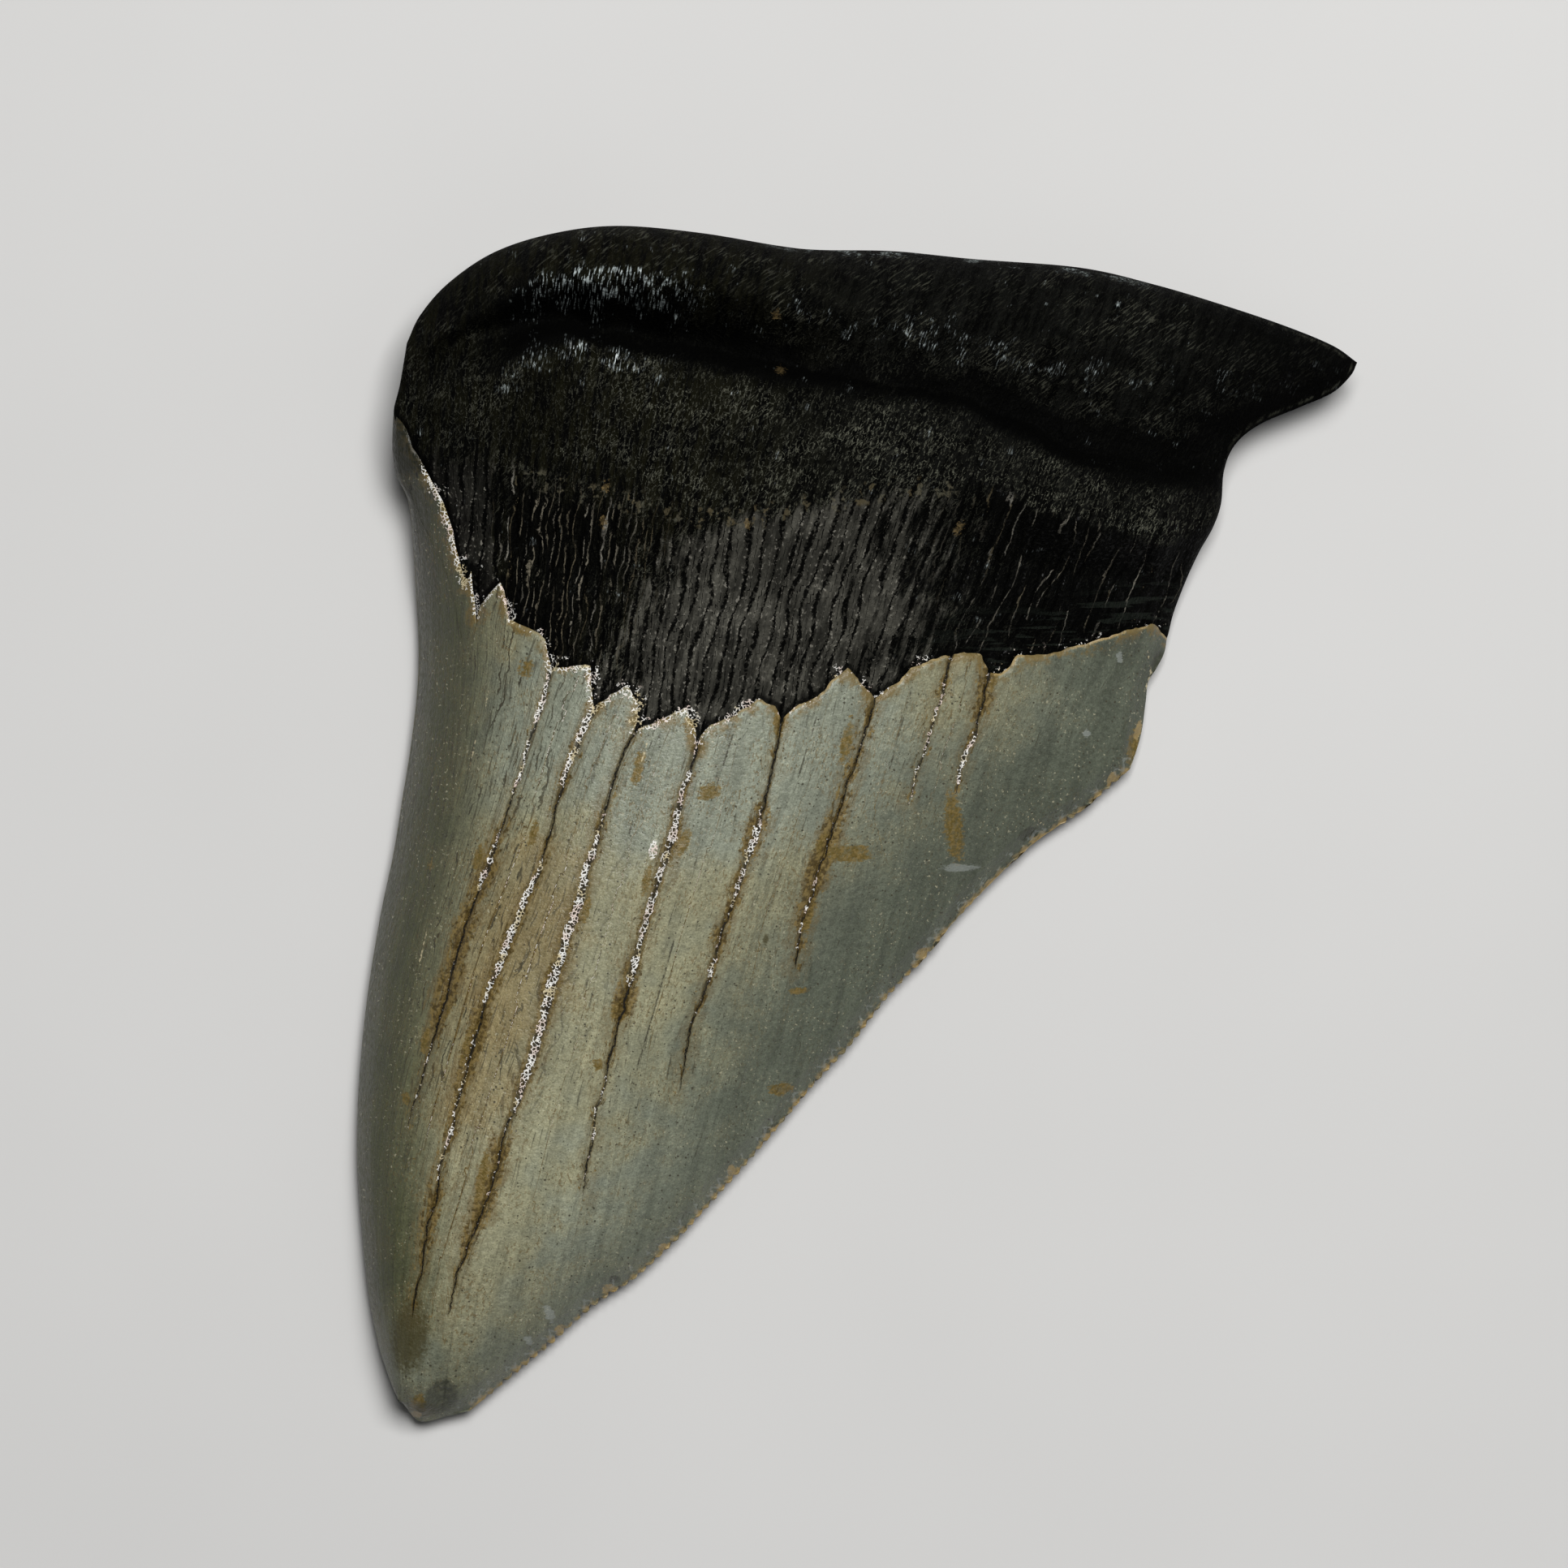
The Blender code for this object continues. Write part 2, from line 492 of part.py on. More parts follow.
def plain_material(name, colour, roughness):
    material = bpy.data.materials.new(name)
    material.use_nodes = True
    shader = material.node_tree.nodes["Principled BSDF"]
    shader.inputs["Base Color"].default_value = colour
    shader.inputs["Roughness"].default_value = roughness
    shader.inputs["Metallic"].default_value = 0.0
    return material


def make_tooth(collection):
    shape = closed_tooth()
    mesh = bpy.data.meshes.new("tooth")
    mesh.materials.append(plain_material("root bone", ROOT_COLOUR, 0.45))
    mesh.materials.append(plain_material("enamel", ENAMEL_COLOUR, 0.35))
    border = np.array(ENAMEL_LINE)
    for face in shape.faces:
        middle = face.calc_center_median() / MM
        face.material_index = int(middle.y < np.interp(middle.x, border[:, 0], border[:, 1]))
    triangles = sum(len(face.verts) - 2 for face in shape.faces)
    shape.to_mesh(mesh)
    shape.free()
    mesh.shade_smooth()
    mesh.set_sharp_from_angle(angle=0.6)
    tooth = bpy.data.objects.new("tooth", mesh)
    collection.objects.link(tooth)
    fewer = tooth.modifiers.new("Fewer faces", "DECIMATE")
    fewer.ratio = MOST_TRIANGLES / triangles
    fewer.use_collapse_triangulate = True
    return tooth


def main():
    clear_scene()
    collection = bpy.data.collections.new("Fossil megalodon tooth")
    bpy.context.scene.collection.children.link(collection)
    make_tooth(collection)


main()
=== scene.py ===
"""Dresses the fossil megalodon tooth: a crown of cracked enamel over a root of dark bone.

The solid tooth gives the place and the size. Two closed skins stand for it here, the crown's and
the root's, and they carry the fine relief that the solid leaves out. Sizes are in millimetres
until a mesh is made. +X is to the right, +Y runs from the tip to the root and +Z is up.
"""

import logging
from dataclasses import dataclass
from enum import Enum
from functools import cached_property, reduce
from typing import ClassVar, Sequence

import bpy
import numpy as np
from mathutils import Matrix, Vector, noise


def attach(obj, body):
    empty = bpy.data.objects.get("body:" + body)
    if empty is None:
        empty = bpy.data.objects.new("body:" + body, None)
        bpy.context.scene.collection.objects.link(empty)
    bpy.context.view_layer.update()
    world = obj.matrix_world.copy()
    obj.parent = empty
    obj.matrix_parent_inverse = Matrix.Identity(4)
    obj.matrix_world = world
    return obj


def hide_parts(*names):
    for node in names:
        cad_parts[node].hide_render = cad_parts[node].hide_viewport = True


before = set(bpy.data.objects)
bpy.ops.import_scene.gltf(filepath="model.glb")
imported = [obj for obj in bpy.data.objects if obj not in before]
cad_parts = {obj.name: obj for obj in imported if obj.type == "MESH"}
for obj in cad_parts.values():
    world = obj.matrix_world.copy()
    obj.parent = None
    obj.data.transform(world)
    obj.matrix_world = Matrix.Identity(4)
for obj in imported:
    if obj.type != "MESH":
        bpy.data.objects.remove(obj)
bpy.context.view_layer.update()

MM = 0.001
FINE_STEP = 0.05
OUTLINE_STEP = 0.8
EDGE_MARGIN = 1.2
SHARP_ANGLE = 0.9
LOG = logging.getLogger("tooth")

Array = np.ndarray
Line = tuple[tuple[float, ...], ...]
Colour = tuple[float, float, float]

CRUST_WHITE: Colour = (0.7, 0.69, 0.65)
CRUST_PINK: Colour = (0.62, 0.52, 0.46)
CRUST_CREAM: Colour = (0.5, 0.43, 0.27)


def smooth_curve(points: Sequence[Sequence[float]], steps: int = 12) -> Array:
    """Draws a Catmull-Rom curve through points in plan.

    Args:
        points: The points, in order.
        steps: How many pieces each stretch gets.

    Returns:
        The curve's points, one row each.
    """
    points = np.array(points)
    ends = [2 * points[0] - points[1]], [2 * points[-1] - points[-2]]
    padded = np.vstack([ends[0], points, ends[1]])
    before, start, stop, after = padded[:-3], padded[1:-2], padded[2:-1], padded[3:]
    pieces = []
    for t in np.linspace(0, 1, steps, endpoint=False):
        bend = 2 * before - 5 * start + 4 * stop - after
        twist = 3 * start - before - 3 * stop + after
        pieces.append(start + 0.5 * ((stop - before) * t + bend * t**2 + twist * t**3))
    curve = np.stack(pieces, axis=1).reshape(-1, 2)
    return np.vstack([curve, points[-1:]])


def lengths_along(curve: Array) -> Array:
    """The length run at each point of a curve."""
    steps = np.hypot(*np.diff(curve, axis=0).T)
    return np.concatenate([[0], np.cumsum(steps)])


def lengths_along_columns(plan: Array) -> Array:
    """The length run down each column of a grid, at every row."""
    steps = np.hypot(*np.moveaxis(np.diff(plan, axis=0), -1, 0))
    return np.vstack([np.zeros(plan.shape[1]), np.cumsum(steps, axis=0)])


def along(curve: Array, fractions: Array) -> Array:
    """Points at fractions of a curve's length."""
    places = lengths_along(curve)
    places = places / places[-1]
    return np.column_stack([np.interp(fractions, places, curve[:, axis]) for axis in (0, 1)])


def even_steps(curve: Array, step: float) -> Array:
    """The same curve with its points about one step apart."""
    count = max(2, round(lengths_along(curve)[-1] / step))
    return along(curve, np.linspace(0, 1, count + 1))


def nearest_index(curve: Array, point: Sequence[float]) -> int:
    """The index of the curve's point that is nearest to a place."""
    return int(np.argmin(np.hypot(*(curve - np.array(point)).T)))


def sideways(curve: Array) -> Array:
    """Unit vectors square to a curve, to the right of its run."""
    direction = np.gradient(curve, axis=0)
    direction /= np.hypot(*direction.T)[:, None]
    return np.column_stack([direction[:, 1], -direction[:, 0]])


def distance_to(curve: Array, x: Array, y: Array) -> Array:
    """Measures how far each place is from a curve.

    Args:
        curve: The curve's points.
        x: The places' x.
        y: The places' y.

    Returns:
        The distances, in the shape of x.
    """
    best = np.full(x.shape, np.inf)
    for corner, side in zip(curve[:-1], np.diff(curve, axis=0)):
        t = np.clip(((x - corner[0]) * side[0] + (y - corner[1]) * side[1]) / (side @ side), 0, 1)
        reach = np.hypot(x - corner[0] - t * side[0], y - corner[1] - t * side[1])
        best = np.minimum(best, reach)
    return best


def patch(top: Array, bottom: Array, left: Array, right: Array,
          across: Array, down: Array) -> Array:
    """Fills a Coons patch between four borders in plan.

    Args:
        top: Points of the first row.
        bottom: Points of the last row.
        left: Points of the first column.
        right: Points of the last column.
        across: The fraction of the way across, at each column.
        down: The fraction of the way down, at each row.

    Returns:
        The plan positions, by row and column.
    """
    u = across[None, :, None]
    v = down[:, None, None]
    ruled_down = (1 - v) * top[None] + v * bottom[None]
    ruled_across = (1 - u) * left[:, None] + u * right[:, None]
    upper = (1 - u) * top[0] + u * top[-1]
    lower = (1 - u) * bottom[0] + u * bottom[-1]
    return ruled_down + ruled_across - (1 - v) * upper - v * lower


def crowded(count: int, crowding: float) -> Array:
    """Fractions from 0 to 1 that come closer together at both ends."""
    even = np.linspace(0, 1, count + 1)
    eased = 0.5 - 0.5 * np.cos(np.pi * even)
    return even + crowding * (eased - even)


def smoothstep(low: float, high: float, value: Array) -> Array:
    """An eased ramp from 0 at low to 1 at high."""
    t = np.clip((value - low) / (high - low), 0, 1)
    return t * t * (3 - 2 * t)


def waves(x: Array, y: Array, width: float, length: float) -> Array:
    """Draws smooth random waves from about -1 to 1.

    Args:
        x: Places across.
        y: Places along.
        width: How wide a wave is across.
        length: How long a wave is along.

    Returns:
        The waves' height at each place.
    """
    places = zip(x.ravel() / width, y.ravel() / length)
    coarse_and_fine = [
        noise.noise(Vector((a, b, width))) + 0.5 * noise.noise(Vector((2.3 * a, 2.3 * b, length)))
        for a, b in places
    ]
    return np.array(coarse_and_fine).reshape(x.shape)


def profile(pairs: Line, y: Array) -> Array:
    """The value of a (y, value) profile, listed from top to bottom, at each y."""
    levels, values = zip(*reversed(pairs))
    return np.interp(y, levels, values)


@dataclass
class Outline:
    """The tooth's outline from above, as the solid has it."""

    root_top: Line = (
        (-33.7, 36.2), (-32.7, 38.3), (-30.6, 40.7), (-27.2, 43), (-22.9, 44.4),
        (-18, 45), (-11.9, 44.5), (-5.8, 43.5), (-2.8, 43.2), (2.8, 43.1), (8.9, 42.5),
        (16.8, 41.9), (22.3, 40.7), (27.2, 39.3), (32.1, 37.7), (35.8, 36.2), (37.7, 34.9),
    )
    root_left: Line = ((-33.7, 36.2), (-34.2, 33.2), (-34.7, 30.9))
    root_right: Line = (
        (37.7, 34.9), (37.2, 33.9), (35.8, 32.6), (33.3, 31.5), (30.3, 30.2), (28.5, 28.7),
        (27.7, 26.8), (27.5, 24.3), (26.9, 22.5), (25.9, 20.7), (24.9, 18.5), (24, 16.1),
        (23.5, 14.2),
    )
    crown_left: Line = (
        (-34.7, 30.9), (-34.8, 28.3), (-34.5, 26.3), (-33.7, 24.6), (-33.4, 21.9),
        (-33.2, 18.2), (-33, 13.9), (-33.1, 10.3), (-33.6, 6), (-34.2, 2.3), (-34.9, -2),
        (-35.8, -6.2), (-36.6, -10.8), (-37.2, -15.4), (-37.6, -20.3), (-37.7, -25.2),
        (-37.4, -30.1), (-36.9, -35), (-36.1, -39.2), (-35.1, -42.2), (-34.5, -43.3),
    )
    crown_right: Line = (
        (23.5, 14.2), (23.3, 13.1), (22.7, 11.9), (22.1, 10.9), (21.9, 9.4), (21.6, 7.2),
        (21.1, 5.4), (20.7, 4.3),
    )
    tip: Line = ((-34.5, -43.3), (-33.3, -44.8), (-32.4, -45), (-30.9, -44.6), (-29.2, -44.2))
    serrated_edge: Line = (
        (-29.2, -44.2), (-26, -41.5), (-22.9, -38.9), (-19.6, -36), (-16.5, -33.9),
        (-12.8, -30.4), (-9.8, -27.1), (-6.4, -23.3), (-3.4, -19.7), (-0.3, -16.3),
        (2.4, -12.8), (5.2, -9.9), (7.6, -7), (11, -3.5), (13.8, -1), (16.8, 1),
        (18.9, 2.8), (20.7, 4.3),
    )
    serration_pitch: float = 0.86
    serration_height: float = 0.34
    serration_root: float = 0.6
    serration_fade: tuple[float, float] = (3, 2)

    @cached_property
    def whole(self) -> Array:
        """The whole outline, as one open run of points."""
        parts = [smooth_curve(self.root_top), smooth_curve(self.root_right),
                 smooth_curve(self.crown_right), smooth_curve(self.serrated_edge)[::-1],
                 smooth_curve(self.tip)[::-1], smooth_curve(self.crown_left)[::-1],
                 smooth_curve(self.root_left)[::-1]]
        return even_steps(np.vstack(parts), OUTLINE_STEP)

    @cached_property
    def cutting_edge(self) -> Array:
        """The tip and the edge above it, pushed out into small round teeth."""
        edge = even_steps(smooth_curve(self.serrated_edge), FINE_STEP)
        places = lengths_along(edge)
        count = round(places[-1] / self.serration_pitch)
        swell = np.abs(np.sin(np.pi * count * places / places[-1])) - self.serration_root
        uneven = 1 + 0.45 * waves(places, places * 0, 2.4, 1)
        fade = smoothstep(0, self.serration_fade[0], places)
        fade *= smoothstep(0, self.serration_fade[1], places[-1] - places)
        push = self.serration_height * swell * fade * uneven
        toothed = edge + sideways(edge) * push[:, None]
        return np.vstack([even_steps(smooth_curve(self.tip), FINE_STEP)[:-1], toothed])


@dataclass
class Relief:
    """How high the solid tooth's two faces stand, place by place."""

    outline: Outline
    crest: Line = (
        (-34, 34.5, 8.5), (-30, 37.6, 11.8), (-24, 40.6, 14.6), (-16, 41.4, 15.8),
        (-6, 39.6, 15.6), (4, 38.2, 15.2), (14, 36.6, 14), (22, 35.2, 11.6), (30, 34.4, 8.6),
        (38, 34.6, 5.4),
    )
    groove: Line = (
        (-34, 33.5, 8), (-27.8, 37.2, 10.6), (-21.7, 37.8, 8.8), (-15.5, 36.6, 8.8),
        (-9.5, 35.3, 9.8), (-5.8, 34.4, 11), (-2, 33.6, 12.4), (2.8, 32.7, 13),
        (8, 32, 12.6), (10.7, 30.9, 12), (15, 28.8, 10.8), (19.9, 27.5, 9.4),
        (23.5, 27.2, 7.2), (26, 28.3, 5.6), (38, 32.6, 4.6),
    )
    lip: Line = (
        (-34, 32.5, 8), (-26.9, 33.7, 13.6), (-24.5, 34.8, 15.6), (-22.3, 35.9, 16.6),
        (-20.8, 36.1, 17), (-18, 35.2, 16.4), (-14.7, 34.5, 16.8), (-9.5, 33.6, 17.4),
        (-3.4, 32.3, 17.6), (1.5, 31.9, 17.2), (5.8, 31.3, 16.8), (8.9, 30.6, 16.2),
        (10.7, 29.4, 15.6), (15, 27.3, 14.2), (18.6, 26.2, 12.8), (21.7, 25.6, 11),
        (26, 25.2, 7.6), (38, 30, 4.4),
    )
    shelf: Line = (
        (-34, 28.5, 7), (-27.8, 28, 12.8), (-21.7, 25.6, 15), (-15.6, 24.3, 16.4),
        (-9.5, 23.1, 16.8), (-3.4, 24.3, 17), (2.8, 25.6, 16.8), (8.9, 25.5, 16.4),
        (12.5, 24, 15.6), (18, 22.5, 13.4), (23.5, 21.4, 9.4), (26, 22.5, 6.8),
        (38, 27, 4.2),
    )
    band: Line = (
        (-34, 23, 5.6), (-27.8, 22, 11.4), (-21.7, 19.4, 13.8), (-15.6, 17, 15.2),
        (-9.5, 15.8, 15.6), (-3.4, 17, 15.4), (2.8, 18.2, 14.2), (8.9, 19.1, 12.4),
        (15, 18.9, 10.2), (21, 18.4, 7.2), (24.5, 18.4, 4.6), (38, 22, 4),
    )
    unevenness: float = 0.4
    uneven_size: float = 2.4
    samples: int = 300
    softening: int = 13
    band_to_enamel: float = 6
    crown_levels: tuple[float, ...] = (-45, -44, -42, -38, -32, -24, -14, -4, 6, 16, 31)
    crown_domes: tuple[float, ...] = (
        0.9, 1.9, 3.4, 5.2, 7, 8.8, 10.6, 12.2, 13.2, 13.8, 13.8)
    dome_top: float = 0.48
    dome_left_power: float = 2.5
    dome_left_fullness: float = 0.85
    dome_right_power: float = 1.9
    corner_blend: float = 3
    edge_height: float = 1.8
    root_edge_rise: float = 5.4
    root_edge_from_to: tuple[float, float] = (14, 34)
    root_edge_radius: float = 5.5
    spur_thinning: float = 0.5
    spur_from_to: tuple[float, float] = (8, 38)
    flat_hollow: float = 1.2
    flat_hollow_place: tuple[float, float] = (-4, 27)
    flat_hollow_reach: tuple[float, float] = (15, 6)
    flat_step: float = 0.5
    flat_step_end: tuple[float, float] = (1, 9)
    flat_sink: float = 0.12
    flat_edge_radius: float = 6.5
    flat_edge_power: float = 2.6
    flat_root_from_to: tuple[float, float] = (12, 26)

    def line_at(self, line: Line, x: Array) -> list[Array]:
        """Reads a relief line.

        Args:
            line: Points (x, y, height) from left to right.
            x: Where to read it.

        Returns:
            The line's y and its height, at each x.
        """
        points = np.array(line)
        fine = np.linspace(points[0, 0], points[-1, 0], self.samples)
        average = np.ones(self.softening) / self.softening
        values = []
        for column in (1, 2):
            sharp = np.interp(fine, points[:, 0], points[:, column])
            padded = np.pad(sharp, self.softening // 2, mode="edge")
            values.append(np.interp(x, fine, np.convolve(padded, average, mode="valid")))
        return values

    def share_across(self, x: Array, y: Array) -> Array:
        """0 on the left edge and 1 on the right one, by how near each of them is."""
        form = self.outline
        left = np.vstack([smooth_curve(form.root_left), smooth_curve(form.crown_left)])
        shoulder = np.vstack([smooth_curve(form.root_right), smooth_curve(form.crown_right)])
        cutting = np.vstack([smooth_curve(form.tip), smooth_curve(form.serrated_edge)])
        from_left, from_shoulder, from_cutting = (
            distance_to(even_steps(edge, OUTLINE_STEP), x, y) + FINE_STEP / 50
            for edge in (left, shoulder, cutting)
        )
        nearness = from_shoulder**-self.corner_blend + from_cutting**-self.corner_blend
        from_right = nearness**(-1 / self.corner_blend)
        return from_left / (from_left + from_right)

    def edge(self, x: Array, y: Array) -> Array:
        """The height of the outline's edge over the ground."""
        thinning = 1 - self.spur_thinning * smoothstep(*self.spur_from_to, x)
        rise = self.root_edge_rise * smoothstep(*self.root_edge_from_to, y)
        return self.edge_height + rise * thinning

    def crown(self, x: Array, y: Array, share: Array) -> Array:
        """The crown's domed face: steep on the left and easy towards the serrated edge."""
        dome = np.interp(y, self.crown_levels, self.crown_domes)
        left = np.clip((self.dome_top - share) / self.dome_top, 0, 1)
        right = np.clip((share - self.dome_top) / (1 - self.dome_top), 0, 1)
        left_side = (1 - left**self.dome_left_power)**self.dome_left_fullness
        right_side = 1 - right**self.dome_right_power
        return self.edge(x, y) + dome * np.where(share < self.dome_top, left_side, right_side)

    def root(self, x: Array, y: Array, from_edge: Array) -> Array:
        """The root's domed face: a loft over its ridge, groove, lip, shelf and bare band."""
        lines = (self.band, self.shelf, self.lip, self.groove, self.crest)
        levels, heights = zip(*(self.line_at(line, x) for line in lines))
        levels = [level + self.unevenness * waves(x, 0 * x, self.uneven_size, 1.0 + index)
                  for index, level in enumerate(levels)]
        result = heights[0]
        for lower, upper, low, high in zip(levels, levels[1:], heights, heights[1:]):
            share = smoothstep(0, 1, (y - lower) / np.maximum(upper - lower, 0.2))
            result = np.where(y > lower, low + (high - low) * share, result)
        edge = self.edge(x, y)
        bend = 1 - np.clip(from_edge / self.root_edge_radius, 0, 1)
        return edge + (result - edge) * np.sqrt(np.clip(1 - bend**2, 0, 1))

    def domed(self, x: Array, y: Array, from_edge: Array) -> Array:
        """The whole domed face without its roughness, blended from bone to crown."""
        level, _ = self.line_at(self.band, x)
        to_crown = smoothstep(0, self.band_to_enamel, level - y)
        crown = self.crown(x, y, self.share_across(x, y))
        return self.root(x, y, from_edge) * (1 - to_crown) + crown * to_crown

    def flat(self, x: Array, y: Array, from_edge: Array, above: Array | None = None) -> Array:
        """The flat face that the tooth rests on.

        Args:
            x: Places to the right.
            y: Places towards the root.
            from_edge: How far each place is from the outline.
            above: How far each place is over the enamel's border, on the root alone.

        Returns:
            The face's height at each place.
        """
        edge = self.edge(x, y)
        hollow = ((x - self.flat_hollow_place[0]) / self.flat_hollow_reach[0])**2
        hollow += ((y - self.flat_hollow_place[1]) / self.flat_hollow_reach[1])**2
        ground = self.flat_hollow * np.exp(-hollow)
        if above is not None:
            ground += self.flat_step * (1 - smoothstep(*self.flat_step_end, above))
        crown_bend = np.abs(2 * self.share_across(x, y) - 1)**self.flat_edge_power
        near = np.clip(from_edge / self.flat_edge_radius, 0, 1)
        root_bend = 1 - np.sqrt(1 - (1 - near)**2)
        bend = crown_bend + (root_bend - crown_bend) * smoothstep(*self.flat_root_from_to, y)
        return np.maximum(ground + (edge - ground) * bend - self.flat_sink, 0)


@dataclass(frozen=True)
class Crack:
    """A crack from its notch in the enamel's border to where its line meets the edge.

    The other fields are (y, value) profiles from top to bottom.
    """

    line: Line
    half_width: Line
    crust: Line
    stain: Line


CRACKS = (
    Crack(
        ((-22.7, 11.7), (-23.7, 8.5), (-25.1, 3.9), (-26.7, -0.7), (-29.4, -8.1),
         (-30.7, -12.7), (-32, -17.2), (-33.4, -22.1), (-34.4, -28), (-34.7, -35),
         (-34.2, -43.7)),
        ((11.7, 0.25), (4, 0.15), (0, 0.12), (-3.4, 0.42), (-4.6, 0.2), (-13, 0.22),
         (-16, 0.12), (-22, 0.06), (-23, 0)),
        ((11.7, 0.7), (7.7, 0.8), (4, 0.7), (1.5, 0.15), (0.2, 0.1), (-1.2, 0.7), (-3.4, 1),
         (-4.4, 0.8), (-5, 0.1), (-16, 0.1), (-17, 0.4), (-22, 0.3)),
        ((11, 0.2), (2, 0.2), (0, 0.6), (-5, 0.8), (-9, 0.9), (-13, 1), (-15, 0.7),
         (-18, 0.3), (-23, 0.1)),
    ),
    Crack(
        ((-19.5, 8.9), (-21.6, 4), (-23.3, -2.2), (-26.6, -10.2), (-28.2, -14.9),
         (-29.5, -19.6), (-31.1, -25.8), (-32.5, -32.2), (-33.4, -37.5), (-33.6, -44.4)),
        ((8.9, 0.35), (4, 0.32), (1, 0.12), (-2, 0.15), (-6, 0.42), (-10, 0.38), (-13, 0.25),
         (-19, 0.25), (-25, 0.2), (-30, 0.15), (-36, 0.08), (-37, 0)),
        ((9.1, 1), (7.5, 0.9), (4.1, 0.9), (2.6, 0.3), (1.5, 0.05), (-2, 0.1), (-3, 0.7),
         (-5.8, 0.9), (-7, 1), (-10, 0.9), (-12.7, 0.8), (-13.9, 0.1), (-17, 0.2),
         (-18.8, 0.8), (-20, 0.4), (-22.6, 0.7), (-25.3, 0.5), (-27, 0.1), (-36, 0.05)),
        ((9, 0.2), (4, 0.5), (0, 0.2), (-3, 0.4), (-8, 0.5), (-12, 0.7), (-15.9, 1),
         (-19, 0.7), (-24, 0.4), (-27, 0.7), (-31, 0.6), (-37, 0.2)),
    ),
    Crack(
        ((-16.4, 7.2), (-18, 3.7), (-19.3, -0.7), (-20.8, -5.9), (-22.5, -11.2),
         (-24.1, -17), (-26.1, -22.3), (-27.8, -28.1), (-29.5, -32.4), (-30.6, -36.7),
         (-31.8, -44.8)),
        ((7.2, 0.15), (2, 0.15), (0, 0.3), (-4, 0.52), (-16, 0.55), (-20, 0.35), (-22, 0.2),
         (-26, 0.25), (-30, 0.15), (-36, 0.08), (-37, 0)),
        ((7.2, 0.05), (1.5, 0.1), (0.3, 0.6), (-2, 0.9), (-4.6, 1), (-16.7, 1), (-20, 0.8),
         (-21.4, 0.2), (-24, 0.1), (-25.5, 0.4), (-27, 0.2), (-36, 0)),
        ((7, 0.3), (0, 0.4), (-8, 0.4), (-12, 0.6), (-20, 0.4), (-22, 0.4), (-24, 1),
         (-28, 0.9), (-32, 0.5), (-37, 0.2)),
    ),
    Crack(
        ((-11.9, 5.7), (-13, 2.4), (-13.9, -1.2), (-15.1, -5.1), (-16.6, -10.2),
         (-17.8, -14.9), (-18.9, -19.1), (-19.9, -23.8), (-20.6, -28.4), (-22.9, -38.9)),
        ((5.7, 0.35), (4.6, 0.3), (3.5, 0.3), (0, 0.4), (-5, 0.4), (-9, 0.35), (-10.3, 0.65),
         (-11.2, 0.5), (-12, 0.2), (-13.5, 0.35), (-15, 0.12), (-20, 0.12), (-23, 0.15),
         (-27, 0.06), (-28, 0)),
        ((5.7, 0), (4.4, 0.1), (3.7, 0.8), (0.5, 0.9), (-1.5, 0.7), (-5.6, 0.9), (-7.8, 0.6),
         (-9, 0.7), (-10.3, 1), (-11, 0.8), (-12, 0.1), (-18, 0.1), (-19.6, 0.5),
         (-22.6, 0.7), (-24, 0.3), (-30, 0)),
        ((5, 0.2), (2, 0.4), (-1, 0.6), (-5, 0.4), (-9, 0.4), (-11.9, 0.8), (-13.5, 1),
         (-14.5, 0.5), (-18, 0.3), (-24, 0.3), (-28, 0.2)),
    ),
    Crack(
        ((-5.6, 7.9), (-6.2, 5.1), (-7.4, 0.2), (-8.8, -4.2), (-10.2, -8.4), (-11.4, -12.4),
         (-12.5, -15.3), (-13.4, -20.5), (-17.2, -34.4)),
        ((7.9, 0.2), (3, 0.12), (0, 0.25), (-1.3, 0.4), (-3, 0.25), (-7, 0.2), (-10, 0.25),
         (-13, 0.15), (-17, 0.08), (-19.6, 0.04), (-20, 0)),
        ((7.9, 0.1), (1.6, 0.1), (0.2, 0.8), (-1.3, 1), (-2.9, 0.6), (-5.2, 0.7),
         (-6.5, 0.2), (-8.5, 0.3), (-9.7, 0.9), (-10.7, 0.7), (-12.9, 0.3), (-16, 0.05),
         (-20, 0)),
        ((7, 0.3), (3, 0.2), (0, 0.8), (-3, 0.4), (-7, 0.7), (-11, 0.4), (-15, 0.3),
         (-20, 0.1)),
    ),
    Crack(
        ((1.3, 9.6), (-0.1, 4.9), (-1.5, 0.9), (-2.9, -3.5), (-4.2, -7.5), (-4.9, -11.5),
         (-9.1, -26.3)),
        ((9.6, 0.2), (5, 0.12), (0, 0.15), (-3, 0.2), (-7, 0.2), (-10, 0.1), (-11, 0)),
        ((9.6, 0.3), (8.5, 0.1), (0, 0.1), (-3, 0.2), (-5, 0.5), (-7.5, 0.6), (-9.5, 0.1),
         (-11, 0)),
        ((9, 0.5), (2, 0.6), (-1, 1), (-3.5, 1), (-7, 0.7), (-10.5, 0.3)),
    ),
    Crack(
        ((7, 12.8), (5.5, 7.2), (4.3, 3.5), (3.4, -0.5), (-0.6, -16.6)),
        ((12.8, 0.15), (8, 0.14), (3, 0.1), (1.5, 0)),
        ((12.8, 0.2), (10, 0.4), (8.5, 0.7), (4, 0.6), (2, 0.1)),
        ((12.8, 0.4), (8, 0.2), (2, 0.2)),
    ),
    Crack(
        ((9.8, 11.6), (9.4, 9), (8.6, 6.5), (7.5, 3.5), (2.9, -12.2)),
        ((11.6, 0.25), (8, 0.12), (5, 0.2), (3.3, 0.2), (2.2, 0)),
        ((11.6, 0.2), (8, 0.2), (6.5, 0.8), (3.3, 0.9), (2.5, 0.2)),
        ((11.6, 0.8), (8, 0.5), (4, 0.2)),
    ),
)


